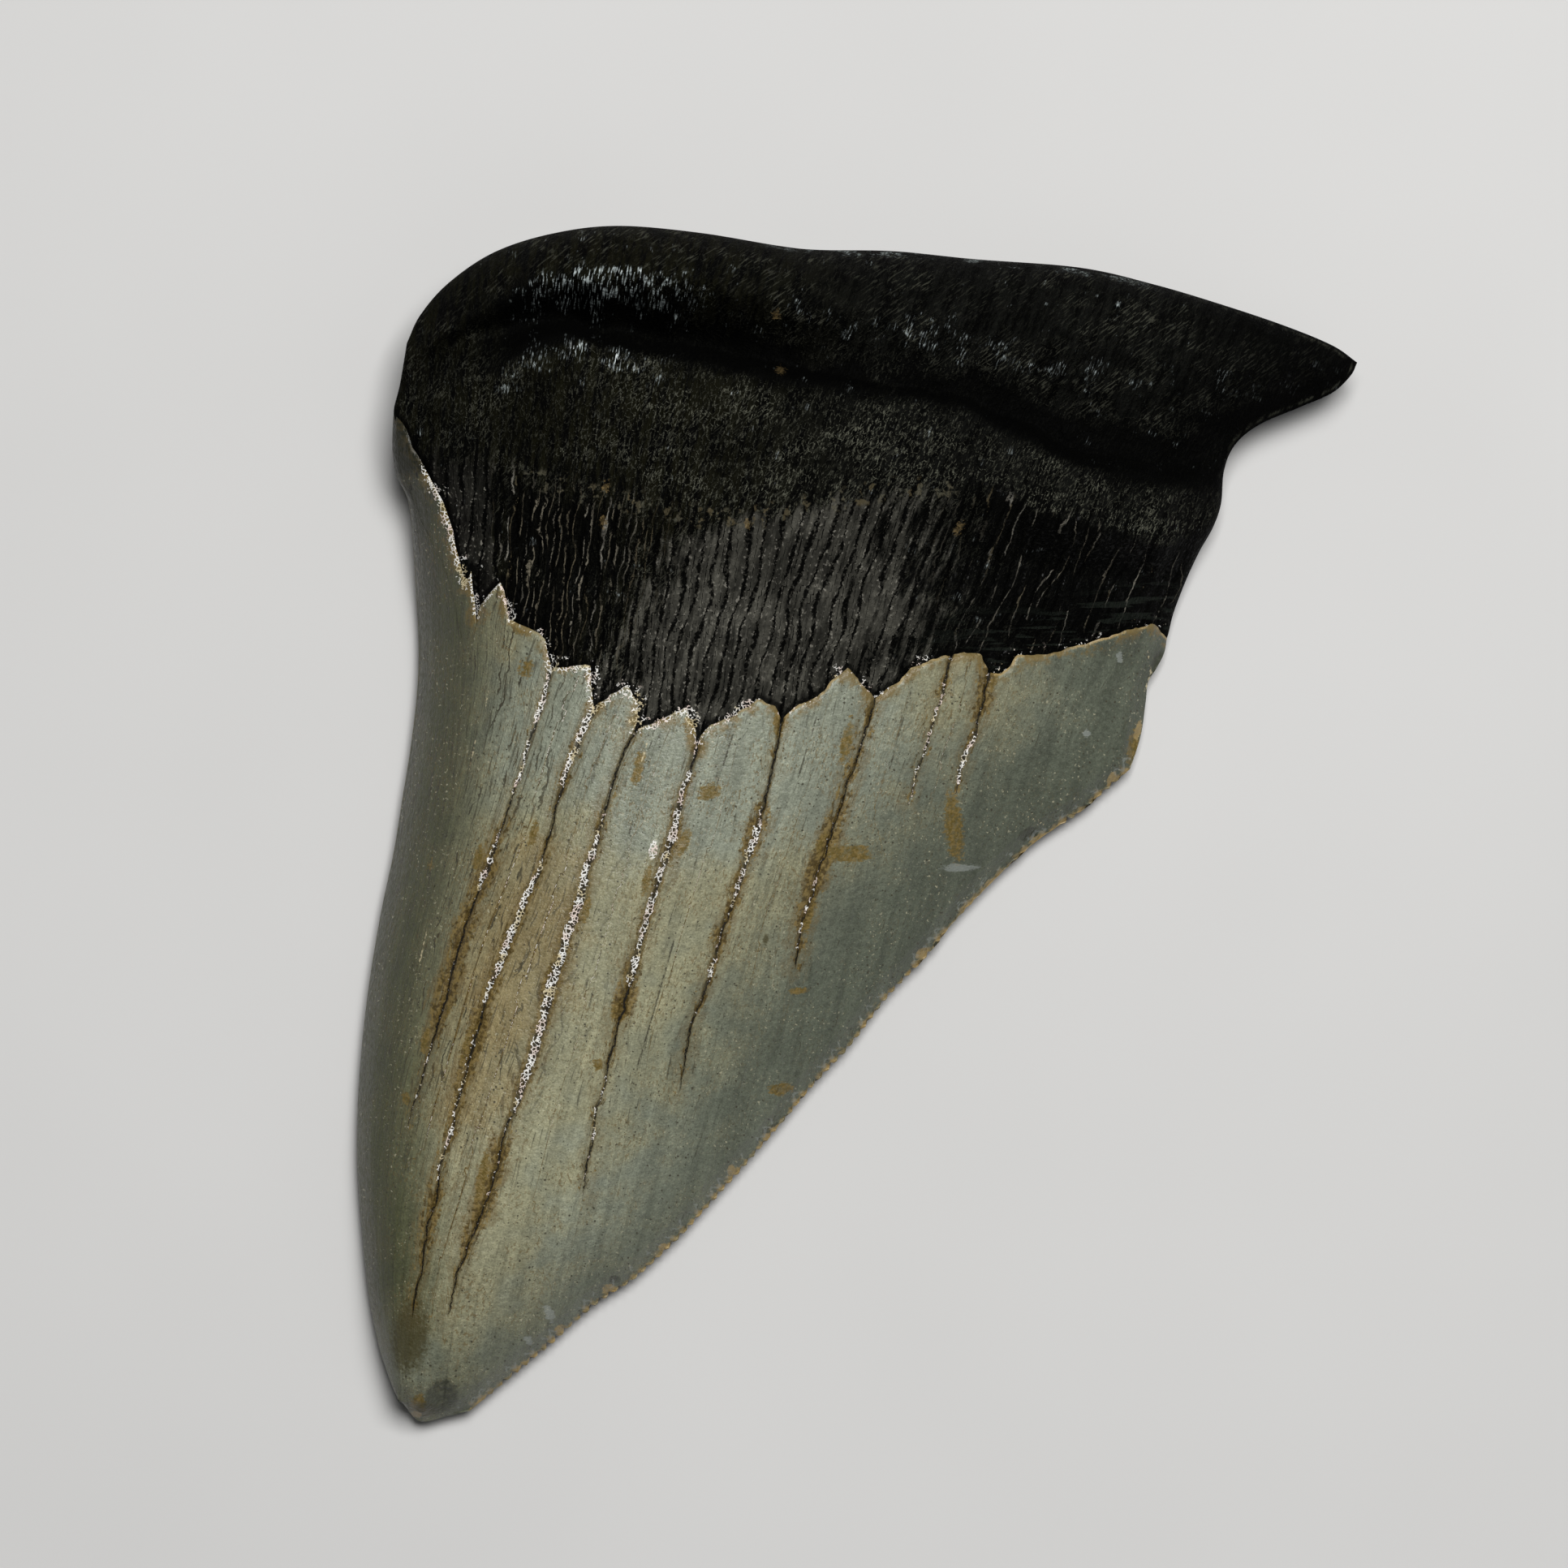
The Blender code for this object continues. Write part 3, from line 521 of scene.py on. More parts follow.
@dataclass(frozen=True)
class Mark:
    """An oval mark on the surface: its middle, half sizes and lean, in millimetres."""

    x: float
    y: float
    wide: float
    tall: float
    lean: float = 0

    def depth(self, x: Array, y: Array) -> Array:
        """1 in the mark's middle, 0 on its outline and below 0 outside it."""
        across = (x - self.x - self.lean * (y - self.y)) / self.wide
        return 1 - np.hypot(across, (y - self.y) / self.tall)


def nearest_gap(lines: Sequence[Line], x: Array, y: Array) -> Array:
    """How far each place is from the nearest of several lines."""
    return np.min([distance_to(np.array(line), x, y) for line in lines], axis=0)


def deepest(marks: Sequence[Mark], x: Array, y: Array) -> Array:
    """How deep each place lies in the nearest of several marks, from -1 to 1."""
    return np.max([0 * x - 1, *(mark.depth(x, y) for mark in marks)], axis=0)


def everywhere(x: Array, *values: float) -> Array:
    """The same numbers at every place."""
    return np.stack([0 * x + value for value in values], -1)


def new_object(name: str, data: bpy.types.ID) -> bpy.types.Object:
    """An object that holds some data, linked to the scene."""
    made = bpy.data.objects.new(name, data)
    bpy.context.scene.collection.objects.link(made)
    return made


@dataclass
class Sheet:
    """One face of a skin: plan positions, heights and traits, by row and column."""

    plan: Array
    height: Array
    traits: dict[str, Array]


class Side(Enum):
    """Which part of a skin a face belongs to."""

    FRONT = 0
    BACK = 1
    WALL = 2


@dataclass
class Skin:
    """Two sheets closed into one skin, with a hidden wall between their first rows.

    The back sheet has every second row and column, and shares the front's other three borders.
    """

    front: Sheet
    back: Sheet
    turned: bool
    bake: dict[Side, tuple[float, float, float]]

    def numbers(self) -> tuple[Array, Array]:
        """Gives every grid point its vertex number.

        Returns:
            The front's numbers and the back's, by row and column.
        """
        rows, columns = self.front.height.shape
        front = np.arange(rows * columns).reshape(rows, columns)
        back = np.full(self.back.height.shape, -1)
        back[:, 0], back[:, -1], back[-1] = front[::2, 0], front[::2, -1], front[-1, ::2]
        own = back < 0
        back[own] = rows * columns + np.arange(own.sum())
        return front, back

    def faces(self) -> tuple[list[list[int]], list[Side]]:
        """Lists the faces, which look outwards, and the side that each is on."""
        front, back = self.numbers()
        quads = np.stack([front[:-1, :-1], front[1:, :-1], front[1:, 1:], front[:-1, 1:]], -1)
        faces = quads.reshape(-1, 4).tolist()
        sides = [Side.FRONT] * len(faces)
        last_row, last_column = back.shape[0] - 2, back.shape[1] - 2
        for row in range(last_row + 1):
            for column in range(last_column + 1):
                ring = [back[row, column]]
                ring += [front[2 * row + 1, 0]] if column == 0 else []
                ring += [back[row + 1, column]]
                ring += [front[-1, 2 * column + 1]] if row == last_row else []
                ring += [back[row + 1, column + 1]]
                ring += [front[2 * row + 1, -1]] if column == last_column else []
                ring += [back[row, column + 1]]
                faces.append([int(number) for number in reversed(ring)])
                sides.append(Side.BACK)
        for column in range(last_column + 1):
            ring = [*front[0, 2 * column:2 * column + 3], back[0, column + 1], back[0, column]]
            faces.append([int(number) for number in dict.fromkeys(ring)])
            sides.append(Side.WALL)
        if self.turned:
            faces = [face[::-1] for face in faces]
        return faces, sides

    def joined(self, of_front: Array, of_back: Array) -> Array:
        """Front and back values in the order of the vertex numbers."""
        own = np.ones(self.back.height.shape, bool)
        own[:, 0] = own[:, -1] = own[-1] = False
        flat = of_front.reshape(-1, *of_front.shape[2:])
        return np.concatenate([flat, of_back[own]])

    def mesh(self, name: str) -> bpy.types.Mesh:
        """Makes the skin's mesh, with its traits as attributes and its bake map.

        Args:
            name: The mesh's name.

        Returns:
            The mesh, in metres.
        """
        plan = self.joined(self.front.plan, self.back.plan)
        height = self.joined(self.front.height, self.back.height)
        faces, sides = self.faces()
        mesh = bpy.data.meshes.new(name)
        mesh.from_pydata(np.column_stack([plan, height]) * MM, [], faces)
        mesh.shade_smooth()
        mesh.set_sharp_from_angle(angle=SHARP_ANGLE)
        for trait, values in self.front.traits.items():
            joined = self.joined(values, self.back.traits[trait])
            kind, key = ("FLOAT", "value") if joined.ndim == 1 else ("FLOAT_VECTOR", "vector")
            mesh.attributes.new(trait, kind, "POINT").data.foreach_set(
                key, joined.astype(np.float32).ravel())
        self.add_bake_map(mesh, plan, faces, sides)
        return mesh

    def add_bake_map(self, mesh: bpy.types.Mesh, plan: Array, faces: list[list[int]],
                     sides: list[Side]) -> None:
        """Lays both faces flat beside each other, each at its own scale and corner.

        Args:
            mesh: The mesh that takes the map.
            plan: Where each vertex is in plan.
            faces: The faces' vertices.
            sides: The side that each face is on.
        """
        laid = np.repeat([self.bake[side] for side in sides], [len(face) for face in faces], axis=0)
        places = (plan[np.concatenate(faces)] - plan.min(axis=0)) * laid[:, :1] + laid[:, 1:]
        layer = mesh.uv_layers.new(name="OFBake")
        layer.data.foreach_set("uv", places.astype(np.float32).ravel())


@dataclass
class Shell:
    """What the crown and the root share: a piece with a domed front and a flat back.

    A side's bake numbers are its scale and the corner where it is laid.
    """

    outline: Outline
    relief: Relief
    name: ClassVar[str] = ""
    turned: ClassVar[bool] = False
    bake: ClassVar[dict[Side, tuple[float, float, float]]] = {}

    def front(self) -> Sheet:
        """Builds the domed face."""
        raise NotImplementedError

    def back(self, front: Sheet) -> Sheet:
        """Builds the flat face, from the front's own rim."""
        raise NotImplementedError

    def places(self, plan: Array) -> tuple[Array, ...]:
        """Reads a grid's places.

        Args:
            plan: The plan positions.

        Returns:
            Their x and y, how far in from the outline they are, and a rise from 0 there to 1.
        """
        x, y = plan[..., 0], plan[..., 1]
        from_edge = distance_to(self.outline.whole, x, y)
        return x, y, from_edge, np.clip(from_edge / EDGE_MARGIN, 0, 1)

    def flat_plan(self, front: Sheet, border: Line) -> tuple[Array, Array]:
        """Lays out the flat face's grid between a border and the front's own rim.

        Args:
            front: The front, whose every second row and column it meets.
            border: The line where it starts.

        Returns:
            The plan positions, and how far across each column is.
        """
        rim = front.plan[::2, ::2]
        across = lengths_along(rim[-1])
        across /= across[-1]
        start = along(smooth_curve(border), across)
        start[[0, -1]] = rim[0, [0, -1]]
        down = np.linspace(0, 1, len(rim))
        return patch(start, rim[-1], rim[:, 0], rim[:, -1], across, down), across

    def build(self) -> bpy.types.Object:
        """Builds the piece.

        Returns:
            The piece, which has no finish yet.
        """
        front = self.front()
        skin = Skin(front, self.back(front), self.turned, self.bake)
        return new_object(self.name, skin.mesh(self.name))


@dataclass
class Crown(Shell):
    """The enamel crown, with its ragged border, cracks, worn tip and serrated edge."""

    name = "crown_enamel"
    bake = {Side.FRONT: (0.0122, 0.005, 0.005), Side.BACK: (0.0036, 0.77, 0.005),
            Side.WALL: (0.0004, 0.9, 0.9)}
    border: Line = (
        (-34.7, 30.9), (-33.9, 30.1), (-33.2, 28.3), (-32.5, 27.1), (-31.6, 25.6),
        (-30.7, 23.7), (-29.6, 19.7), (-29.2, 17.9), (-28.7, 19.4), (-28.4, 15.2),
        (-28, 16.7), (-26.3, 18.4), (-25.9, 15.3), (-24.8, 15), (-23.2, 14.1),
        (-22.7, 11.7), (-21.1, 11.9), (-19.8, 12), (-19.5, 8.9), (-17.1, 10.5),
        (-16.2, 9.2), (-16.4, 7.2), (-15.5, 7.5), (-14.1, 8.2), (-12.7, 8.9), (-12, 7.2),
        (-11.9, 5.7), (-11.5, 6.8), (-10.9, 7.5), (-9.3, 8.1), (-7.3, 9.5), (-6.1, 8.9),
        (-5.6, 7.9), (-4.4, 9.1), (-2.9, 9.6), (-1.9, 10.9), (-0.7, 11.8), (0.3, 10.6),
        (1.3, 9.6), (3.2, 10.9), (4, 11.8), (6.2, 12.7), (7, 12.8), (8, 13),
        (9.3, 12.8), (9.8, 11.6), (10.8, 11.4), (11.6, 12.2), (12, 12.8), (14.4, 12.9),
        (15.9, 13.4), (17.9, 13.9), (20.2, 14.7), (22.4, 15.3), (23.5, 14.2),
    )
    flat_border: Line = (
        (-34.7, 30.9), (-30, 26.6), (-24, 23.4), (-12, 20.8), (0, 19.6),
        (10, 18.4), (18, 16.8), (23.5, 14.2),
    )
    border_white: Line = (
        (27.2, 0), (26.6, 0.85), (24.6, 1), (19, 1), (17.5, 0.7), (15, 0.25), (12.5, 0.3),
        (12, 0.8), (7, 0.7), (5, 0.2))
    raggedness: float = 0.11
    ragged_size: float = 0.55
    columns_per_strip: tuple[int, ...] = (34, 20, 28, 42, 52, 60, 56, 34, 74)
    crowding: float = 0.6
    rows: int = 190
    enamel_step: float = 0.5
    lip_drop: float = 0.45
    corner_tuck: Line = ((0.1, -0.05), (-0.1, -0.05))
    bevel_width: float = 0.45
    bevel_depth: float = 0.5
    crack_depth: float = 0.42
    crack_wander: float = 0.22
    finger_bulge: float = 0.12
    finger_shoulder: float = 0.6
    crust_height: float = 0.16
    ripple: float = 0.06
    striation: float = 0.02
    flute_reach: float = 1.1
    flute_depth: float = 0.14
    tip_chip: Mark = Mark(-31.4, -42.6, 1, 1.9)
    tip_chip_depth: float = 0.7
    shoulder_chips: tuple[Mark, ...] = (
        Mark(23, 12, 0.9, 1.5, 0.2), Mark(21.2, 6.2, 0.7, 1.1, 0.1))
    shoulder_chip_depth: float = 0.6
    nicks: tuple[Mark, ...] = (
        Mark(13.4, -0.9, 0.9, 0.7), Mark(-0.2, -15.6, 0.6, 0.5), Mark(-6.2, -22.6, 0.9, 0.7),
        Mark(-12.4, -29.6, 0.7, 0.6), Mark(5, -9.6, 0.6, 0.5))
    nick_depth: float = 0.35
    ochre: tuple[Mark, ...] = (
        Mark(-0.6, -2, 1.9, 0.75), Mark(7.3, -0.1, 0.8, 2.7, -0.12),
        Mark(-5.7, -19.8, 1, 0.55), Mark(-4.3, -12.3, 0.85, 0.3),
        Mark(-33.7, -20.3, 0.4, 0.5), Mark(-31.9, -2.9, 0.35, 0.55),
        Mark(-11, 2.6, 0.9, 0.7, 0.4), Mark(-2.6, -1.4, 0.5, 1.1, 0.3),
        Mark(20.9, 6, 0.5, 1.5, 0.15), Mark(-25, 14.5, 0.6, 0.35),
        Mark(-32.9, -43.6, 0.7, 1), Mark(10.2, 11, 0.3, 0.9, 0.2),
        Mark(-24, -0.5, 0.35, 1.2, 0.2), Mark(-28.2, -2.4, 0.4, 1.1, 0.2),
        Mark(-30.7, -13.3, 0.45, 1.3, 0.2), Mark(-32.2, -16, 0.35, 1.1, 0.2),
        Mark(-29, -16.6, 0.4, 1.9, 0.2), Mark(-27.9, -25.9, 0.4, 2.2, 0.2),
        Mark(-22.9, -11.2, 0.35, 0.9, 0.2), Mark(-20.1, -6.1, 0.35, 1.2, 0.2),
        Mark(-17.7, -13.7, 0.7, 0.8, 0.2), Mark(-15.6, -3.9, 0.35, 1.2, 0.2),
        Mark(-19.3, -17.7, 0.45, 0.5), Mark(-12.9, -1.2, 0.5, 1.3, 0.3),
        Mark(-3.6, -6.4, 0.4, 1.8, 0.2), Mark(-5.9, 7.6, 0.4, 1.3, -0.1),
        Mark(-12.4, 7.4, 0.5, 1), Mark(-16.2, 4.4, 0.45, 1.6, 0.2),
        Mark(-0.8, 6.4, 0.45, 1.8, 0.2), Mark(-24.6, 11.8, 0.6, 0.9, 0.2))
    pale: tuple[Mark, ...] = (
        Mark(7.9, -3.1, 1.6, 0.32), Mark(-23.1, -36.7, 0.4, 0.8, -0.3),
        Mark(-24.7, -38.7, 0.32, 0.5, -0.3), Mark(19.8, 12.7, 0.28, 0.5),
        Mark(14.2, -0.4, 0.3, 0.3), Mark(17.3, 7, 0.35, 0.35))
    brown: tuple[Mark, ...] = (
        Mark(-33.5, -38.2, 1.9, 3.6, 0.1), Mark(-6.8, -8.4, 0.3, 0.55, 0.1),
        Mark(-32.4, -44, 1.2, 0.8), Mark(-29, 4.8, 0.3, 0.5))
    slate_chips: tuple[Mark, ...] = (
        Mark(-31.3, -43, 1.4, 1.6, 0.2), Mark(22.7, 11.9, 0.55, 1.5, 0.15),
        Mark(-6.4, -22.9, 0.7, 0.5, 0.8), Mark(-18.2, -34.2, 0.5, 0.35),
        Mark(13, -0.6, 0.8, 0.6, 0.5))
    beads: tuple[Mark, ...] = (
        Mark(5, -9.6, 0.55, 0.5, 0.5), Mark(-18.7, -35, 0.55, 0.5), Mark(-22.3, -38, 0.5, 0.4),
        Mark(19.3, 3.6, 0.35, 0.7, 0.3), Mark(21.3, 7.2, 0.3, 0.9, 0.2), Mark(-9.4, -26, 0.35, 0.5),
        Mark(-14.6, -31.8, 0.4, 0.35), Mark(-33.2, -44.4, 0.5, 0.35))
    loose_crust: tuple[Mark, ...] = (Mark(-15.1, -1.7, 0.4, 0.9, 0.1),)
    dark_hairs: tuple[Line, ...] = (
        ((1.5, -7.6), (3.1, -7.8)), ((-18.4, -27.2), (-17, -27.7)),
        ((-14.9, 7.6), (-16, 3.4), (-16.9, -0.6)), ((-30.1, 9.9), (-31.8, 3.6), (-33.6, -3)),
        ((-13.6, -8.4), (-15.6, -15.4), (-17.2, -20.6)), ((-26, 12.9), (-28.6, 4.6)),
        ((-9.2, 6.9), (-10.8, 1.9)), ((-3, 8.2), (-4.4, 3.6)), ((4.1, 10.4), (2.4, 4.3)),
        ((-24.2, 12.6), (-25.6, 8.8)), ((-20.7, 10.3), (-22.2, 5.6)))
    pale_hairs: tuple[Line, ...] = (
        ((-27.4, 10.1), (-29.2, 3.4), (-31, -3.6), (-32.7, -10.2)), ((-15.6, 6.2), (-16, 4.6)),
        ((22, 13.2), (22.3, 11.5), (21.8, 10.2)), ((12.5, 0.9), (14.2, 0.1)))
    flake_break: Line = ((-32.4, 26.9), (-33.1, 26.2), (-33.9, 24.4))
    warm_band: Mark = Mark(-25, -9.5, 5.5, 17, 0.33)
    warm_low: Mark = Mark(-28, -34.5, 6.5, 13, 0.1)
    cool_fingers: Mark = Mark(-12, 6.5, 20, 11)
    grain_pitch: float = 0.55
    flat_ochre: Mark = Mark(-8, -6, 2.6, 1.8)
    flat_brown: Mark = Mark(-33.6, -38.2, 2.2, 4, 0.1)
    flat_lip: float = 0.12
    flat_white: float = 0.25

    @cached_property
    def border_line(self) -> Array:
        """The ragged border, finely stepped."""
        line = even_steps(np.array(self.border), FINE_STEP)
        places = lengths_along(line)
        push = waves(places, places * 0, self.ragged_size, 1)
        push *= self.raggedness * smoothstep(0, 1, places) * smoothstep(0, 1, places[-1] - places)
        return line + sideways(line) * push[:, None]

    def plan(self) -> tuple[Array, Array]:
        """Lays out the front's grid, whose columns follow the cracks.

        Returns:
            The plan positions, and how far along the border each column starts.
        """
        border, edge = self.border_line, self.outline.cutting_edge
        guides = [even_steps(smooth_curve(crack.line), FINE_STEP) for crack in CRACKS]
        starts = [0] + [nearest_index(border, guide[0]) for guide in guides] + [len(border) - 1]
        stops = [0] + [nearest_index(edge, guide[-1]) for guide in guides] + [len(edge) - 1]
        for guide, start, stop in zip(guides, starts[1:-1], stops[1:-1]):
            guide[0] = border[start]
            guide[-1] = edge[stop]
        sides = [smooth_curve(self.outline.crown_left), *guides,
                 smooth_curve(self.outline.crown_right)]
        down = crowded(self.rows - 1, self.crowding)
        strips = []
        for index, count in enumerate(self.columns_per_strip):
            across = crowded(count, self.crowding)
            strips.append(patch(
                along(border[starts[index]:starts[index + 1] + 1], across),
                along(edge[stops[index]:stops[index + 1] + 1], across),
                along(sides[index], down), along(sides[index + 1], down), across, down,
            )[:, (index > 0):])
        plan = np.hstack(strips)
        lip = plan[:1].copy()
        lip[0, (0, -1)] += self.corner_tuck
        starts_along = np.interp(plan[0, :, 0], np.maximum.accumulate(border[:, 0]),
                                 lengths_along(border) * self.grain_pitch)
        return np.concatenate([lip, plan]), starts_along

    def crack_traits(self, x: Array, y: Array) -> dict[str, Array]:
        """Finds each place's nearest crack.

        Args:
            x: Places to the right.
            y: Places towards the root.

        Returns:
            The trait crack, which holds how far right of it a place is, its half width and its
            crust, and the trait stain.
        """
        x = x + self.crack_wander * waves(x, y, 2, 2.2)
        gap = np.full(x.shape, 50.0)
        half, crust, stain = (np.zeros(x.shape) for _ in range(3))
        for crack in CRACKS:
            curve = even_steps(smooth_curve(crack.line), 10 * FINE_STEP)
            bottom = crack.half_width[-1][0]
            reach = distance_to(curve[curve[:, 1] > bottom], x, y)
            side = np.sign(x - np.interp(y, curve[::-1, 1], curve[::-1, 0]))
            nearer = reach < np.abs(gap)
            gap = np.where(nearer, reach * side, gap)
            half = np.where(nearer, profile(crack.half_width, y), half)
            crust = np.where(nearer, profile(crack.crust, y), crust)
            stain = np.where(nearer, profile(crack.stain, y), stain)
        return {"crack": np.stack([gap, half, crust], -1), "stain": stain}

    def mark_traits(self, x: Array, y: Array, border_gap: Array) -> dict[str, Array]:
        """Reads the marks, chips, beads and hairs.

        Args:
            x: Places to the right.
            y: Places towards the root.
            border_gap: How far each place is from the enamel's border.

        Returns:
            The traits marks, rim (with the border, the chips and the loose crust), bead and hair.
        """
        ochre, pale, brown, chip, loose, bead = (deepest(marks, x, y) for marks in (
            self.ochre, self.pale, self.brown, self.slate_chips, self.loose_crust, self.beads))
        hair = [nearest_gap(lines, x, y)
                for lines in (self.dark_hairs, self.pale_hairs, (self.flake_break,))]
        return {"marks": np.stack([ochre, pale, brown], -1), "bead": bead,
                "rim": np.stack([border_gap, chip, loose], -1), "hair": np.stack(hair, -1)}

    def tone_trait(self, x: Array, y: Array) -> Array:
        """Works out what the broad tints and the painted shade along both sides follow.

        Args:
            x: Places to the right.
            y: Places towards the root.

        Returns:
            The warmth, then how far in each place is from the cutting edge and the left side.
        """
        form = self.outline
        left = distance_to(even_steps(smooth_curve(form.crown_left), OUTLINE_STEP), x, y)
        edge = np.vstack([smooth_curve(form.serrated_edge), smooth_curve(form.crown_right)[::-1]])
        right = distance_to(even_steps(edge, OUTLINE_STEP), x, y)
        warm = 0.5 + 0.45 * smoothstep(-0.2, 0.7, self.warm_band.depth(x, y))
        warm += 0.2 * smoothstep(0, 0.8, self.warm_low.depth(x, y))
        warm -= 0.5 * smoothstep(-0.1, 0.5, self.cool_fingers.depth(x, y))
        warm -= 0.3 * (1 - smoothstep(3, 15, right))
        right = right * (1 + 1.6 * smoothstep(-14, -38, y))
        return np.stack([np.clip(warm, 0, 1), right, left], -1)

    def bevel(self, border_gap: Array) -> Array:
        """How much the enamel's border is worn down, from 1 on it to 0 inside."""
        return (1 - np.clip(border_gap / self.bevel_width, 0, 1))**2

    def rise(self, x: Array, y: Array, grain: Array, traits: dict[str, Array]) -> Array:
        """Works out how far the enamel stands over the smooth tooth.

        Args:
            x: Places to the right.
            y: Places towards the root.
            grain: Places across and along the grain.
            traits: The crown's traits so far, with its cracks and its rim.

        Returns:
            The rise, with the cracks sunk in it and the crust on it.
        """
        gap, half, crust = np.abs(np.moveaxis(traits["crack"], -1, 0))
        rise = self.enamel_step * (1 - self.bevel_depth * self.bevel(traits["rim"][..., 0]))
        rise += self.ripple * waves(x, y, 5, 9)
        rise += self.striation * waves(grain[..., 0], grain[..., 1], 0.5, 9)
        open_here = smoothstep(0, 0.1, half)
        rise -= self.finger_bulge * np.exp(-(gap / self.finger_shoulder)**2) * open_here
        depth = self.crack_depth * np.clip(1 - gap / np.maximum(half, 0.02), 0, 1) * open_here
        rise -= depth * (1 - 0.6 * crust)
        grains = 0.6 + 0.6 * waves(x, y, 0.32, 0.32)
        crusted = crust * np.clip(1 - gap / np.maximum(1.3 * half, 0.02), 0, 1)**0.5
        loose = smoothstep(0, 0.5, deepest(self.loose_crust, x, y))
        return rise + self.crust_height * grains * np.maximum(crusted, loose)

    def front(self) -> Sheet:
        """Builds the domed face of the crown."""
        plan, starts_along = self.plan()
        x, y, from_edge, near_edge = self.places(plan)
        border_gap = distance_to(even_steps(self.border_line, 4 * FINE_STEP), x, y)
        border_gap[:2] = 0
        run = lengths_along_columns(plan)
        grain = np.stack([np.broadcast_to(starts_along, x.shape), run, 0 * run], -1)
        traits = self.crack_traits(x, y) | self.mark_traits(x, y, border_gap)
        traits |= {"tone": self.tone_trait(x, y), "grain": grain, "edging": self.edging(x, y)}
        height = self.relief.domed(x, y, from_edge)
        surface = height + self.rise(x, y, grain, traits) * near_edge
        depth, traits["saw_tooth"] = self.flutes(x, y, from_edge)
        surface -= depth
        surface -= self.chips(x, y) * near_edge
        surface[0] = height[0] - self.lip_drop * near_edge[0]
        surface = np.maximum(surface, self.relief.flat(x, y, from_edge) + FINE_STEP)
        edge = self.relief.edge(x, y)
        for rim in (np.s_[:, 0], np.s_[:, -1], np.s_[-1, :]):
            surface[rim] = edge[rim]
        surface[0, (0, -1)] -= 2 * FINE_STEP
        return Sheet(plan, surface, traits)

    def edging(self, x: Array, y: Array) -> Array:
        """Reads what lines the crown's borders.

        Args:
            x: Places to the right.
            y: Places towards the root.

        Returns:
            The white crust and the tan rim along the border, and how near the serrations are.
        """
        white = profile(self.border_white, y)
        white *= 1 - 0.75 * smoothstep(-14, -6, x)
        tan = 0.35 + 0.5 * smoothstep(-16, -2, x)
        saw = distance_to(even_steps(smooth_curve(self.outline.serrated_edge), OUTLINE_STEP), x, y)
        return np.stack([white, tan, saw], -1)

    def flutes(self, x: Array, y: Array, from_edge: Array) -> tuple[Array, Array]:
        """Shapes the small flutes that run in from the gaps between the serrations.

        Args:
            x: Places to the right.
            y: Places towards the root.
            from_edge: How far each place is from the outline.

        Returns:
            Their depth, and a swell that is 1 at each serration and 0 between two.
        """
        edge = even_steps(smooth_curve(self.outline.serrated_edge), 2 * FINE_STEP)
        count = round(lengths_along(edge)[-1] / self.outline.serration_pitch)
        depth, swell = np.zeros(x.shape), np.ones(x.shape)
        close = from_edge < 2 * self.flute_reach
        reach = np.hypot(x[close][:, None] - edge[:, 0], y[close][:, None] - edge[:, 1])
        nearest = np.argmin(reach, axis=1)
        on_edge = reach[np.arange(len(nearest)), nearest] < self.flute_reach
        swell[close] = np.abs(np.sin(np.pi * count * nearest / (len(edge) - 1)))
        fade = np.clip(1 - from_edge[close] / self.flute_reach, 0, 1)
        depth[close] = self.flute_depth * (1 - swell[close]) * fade * on_edge
        return depth, swell

    def chips(self, x: Array, y: Array) -> Array:
        """How deep the worn tip, the shoulder's chips and the edge's nicks cut in."""
        depth = self.tip_chip_depth * np.exp(-(1 - self.tip_chip.depth(x, y))**2)
        for marks, most in ((self.shoulder_chips, self.shoulder_chip_depth),
                            (self.nicks, self.nick_depth)):
            depth += most * smoothstep(0, 0.45, deepest(marks, x, y))
        return depth

    def back(self, front: Sheet) -> Sheet:
        """Builds the flat face of the crown, with faint clouds and two stains."""
        plan, across = self.flat_plan(front, self.flat_border)
        x, y, from_edge, near_edge = self.places(plan)
        border = even_steps(smooth_curve(self.flat_border), OUTLINE_STEP)
        border_gap = distance_to(border, x, y)
        border_gap[0] = 0
        run = lengths_along_columns(plan)
        grain = np.stack([np.broadcast_to(40 + 50 * across, x.shape), run, 0 * run], -1)
        height = self.relief.flat(x, y, from_edge)
        height += self.ripple * (1 + waves(x, y, 6, 12)) * near_edge
        height += self.flat_lip * self.bevel(border_gap) * near_edge
        tone, rim, marks = everywhere(x, 0, 12, 12), everywhere(x, 0, -1, -1), everywhere(x, 0, -1, 0)
        tone[..., 0] = 0.45 + 0.2 * waves(x, y, 14, 20)
        rim[..., 0] = border_gap
        marks[..., 0] = deepest((self.flat_ochre,), x, y)
        marks[..., 2] = deepest((self.flat_brown,), x, y)
        edging = self.edging(x, y)
        edging[..., 0] = self.flat_white
        traits = {"crack": everywhere(x, 50, 0, 0), "stain": 0 * x, "marks": marks, "tone": tone,
                  "rim": rim, "grain": grain, "edging": edging, "saw_tooth": 0 * x + 0.5,
                  "bead": 0 * x - 1, "hair": everywhere(x, 9, 9, 9)}
        return Sheet(plan, height, traits)


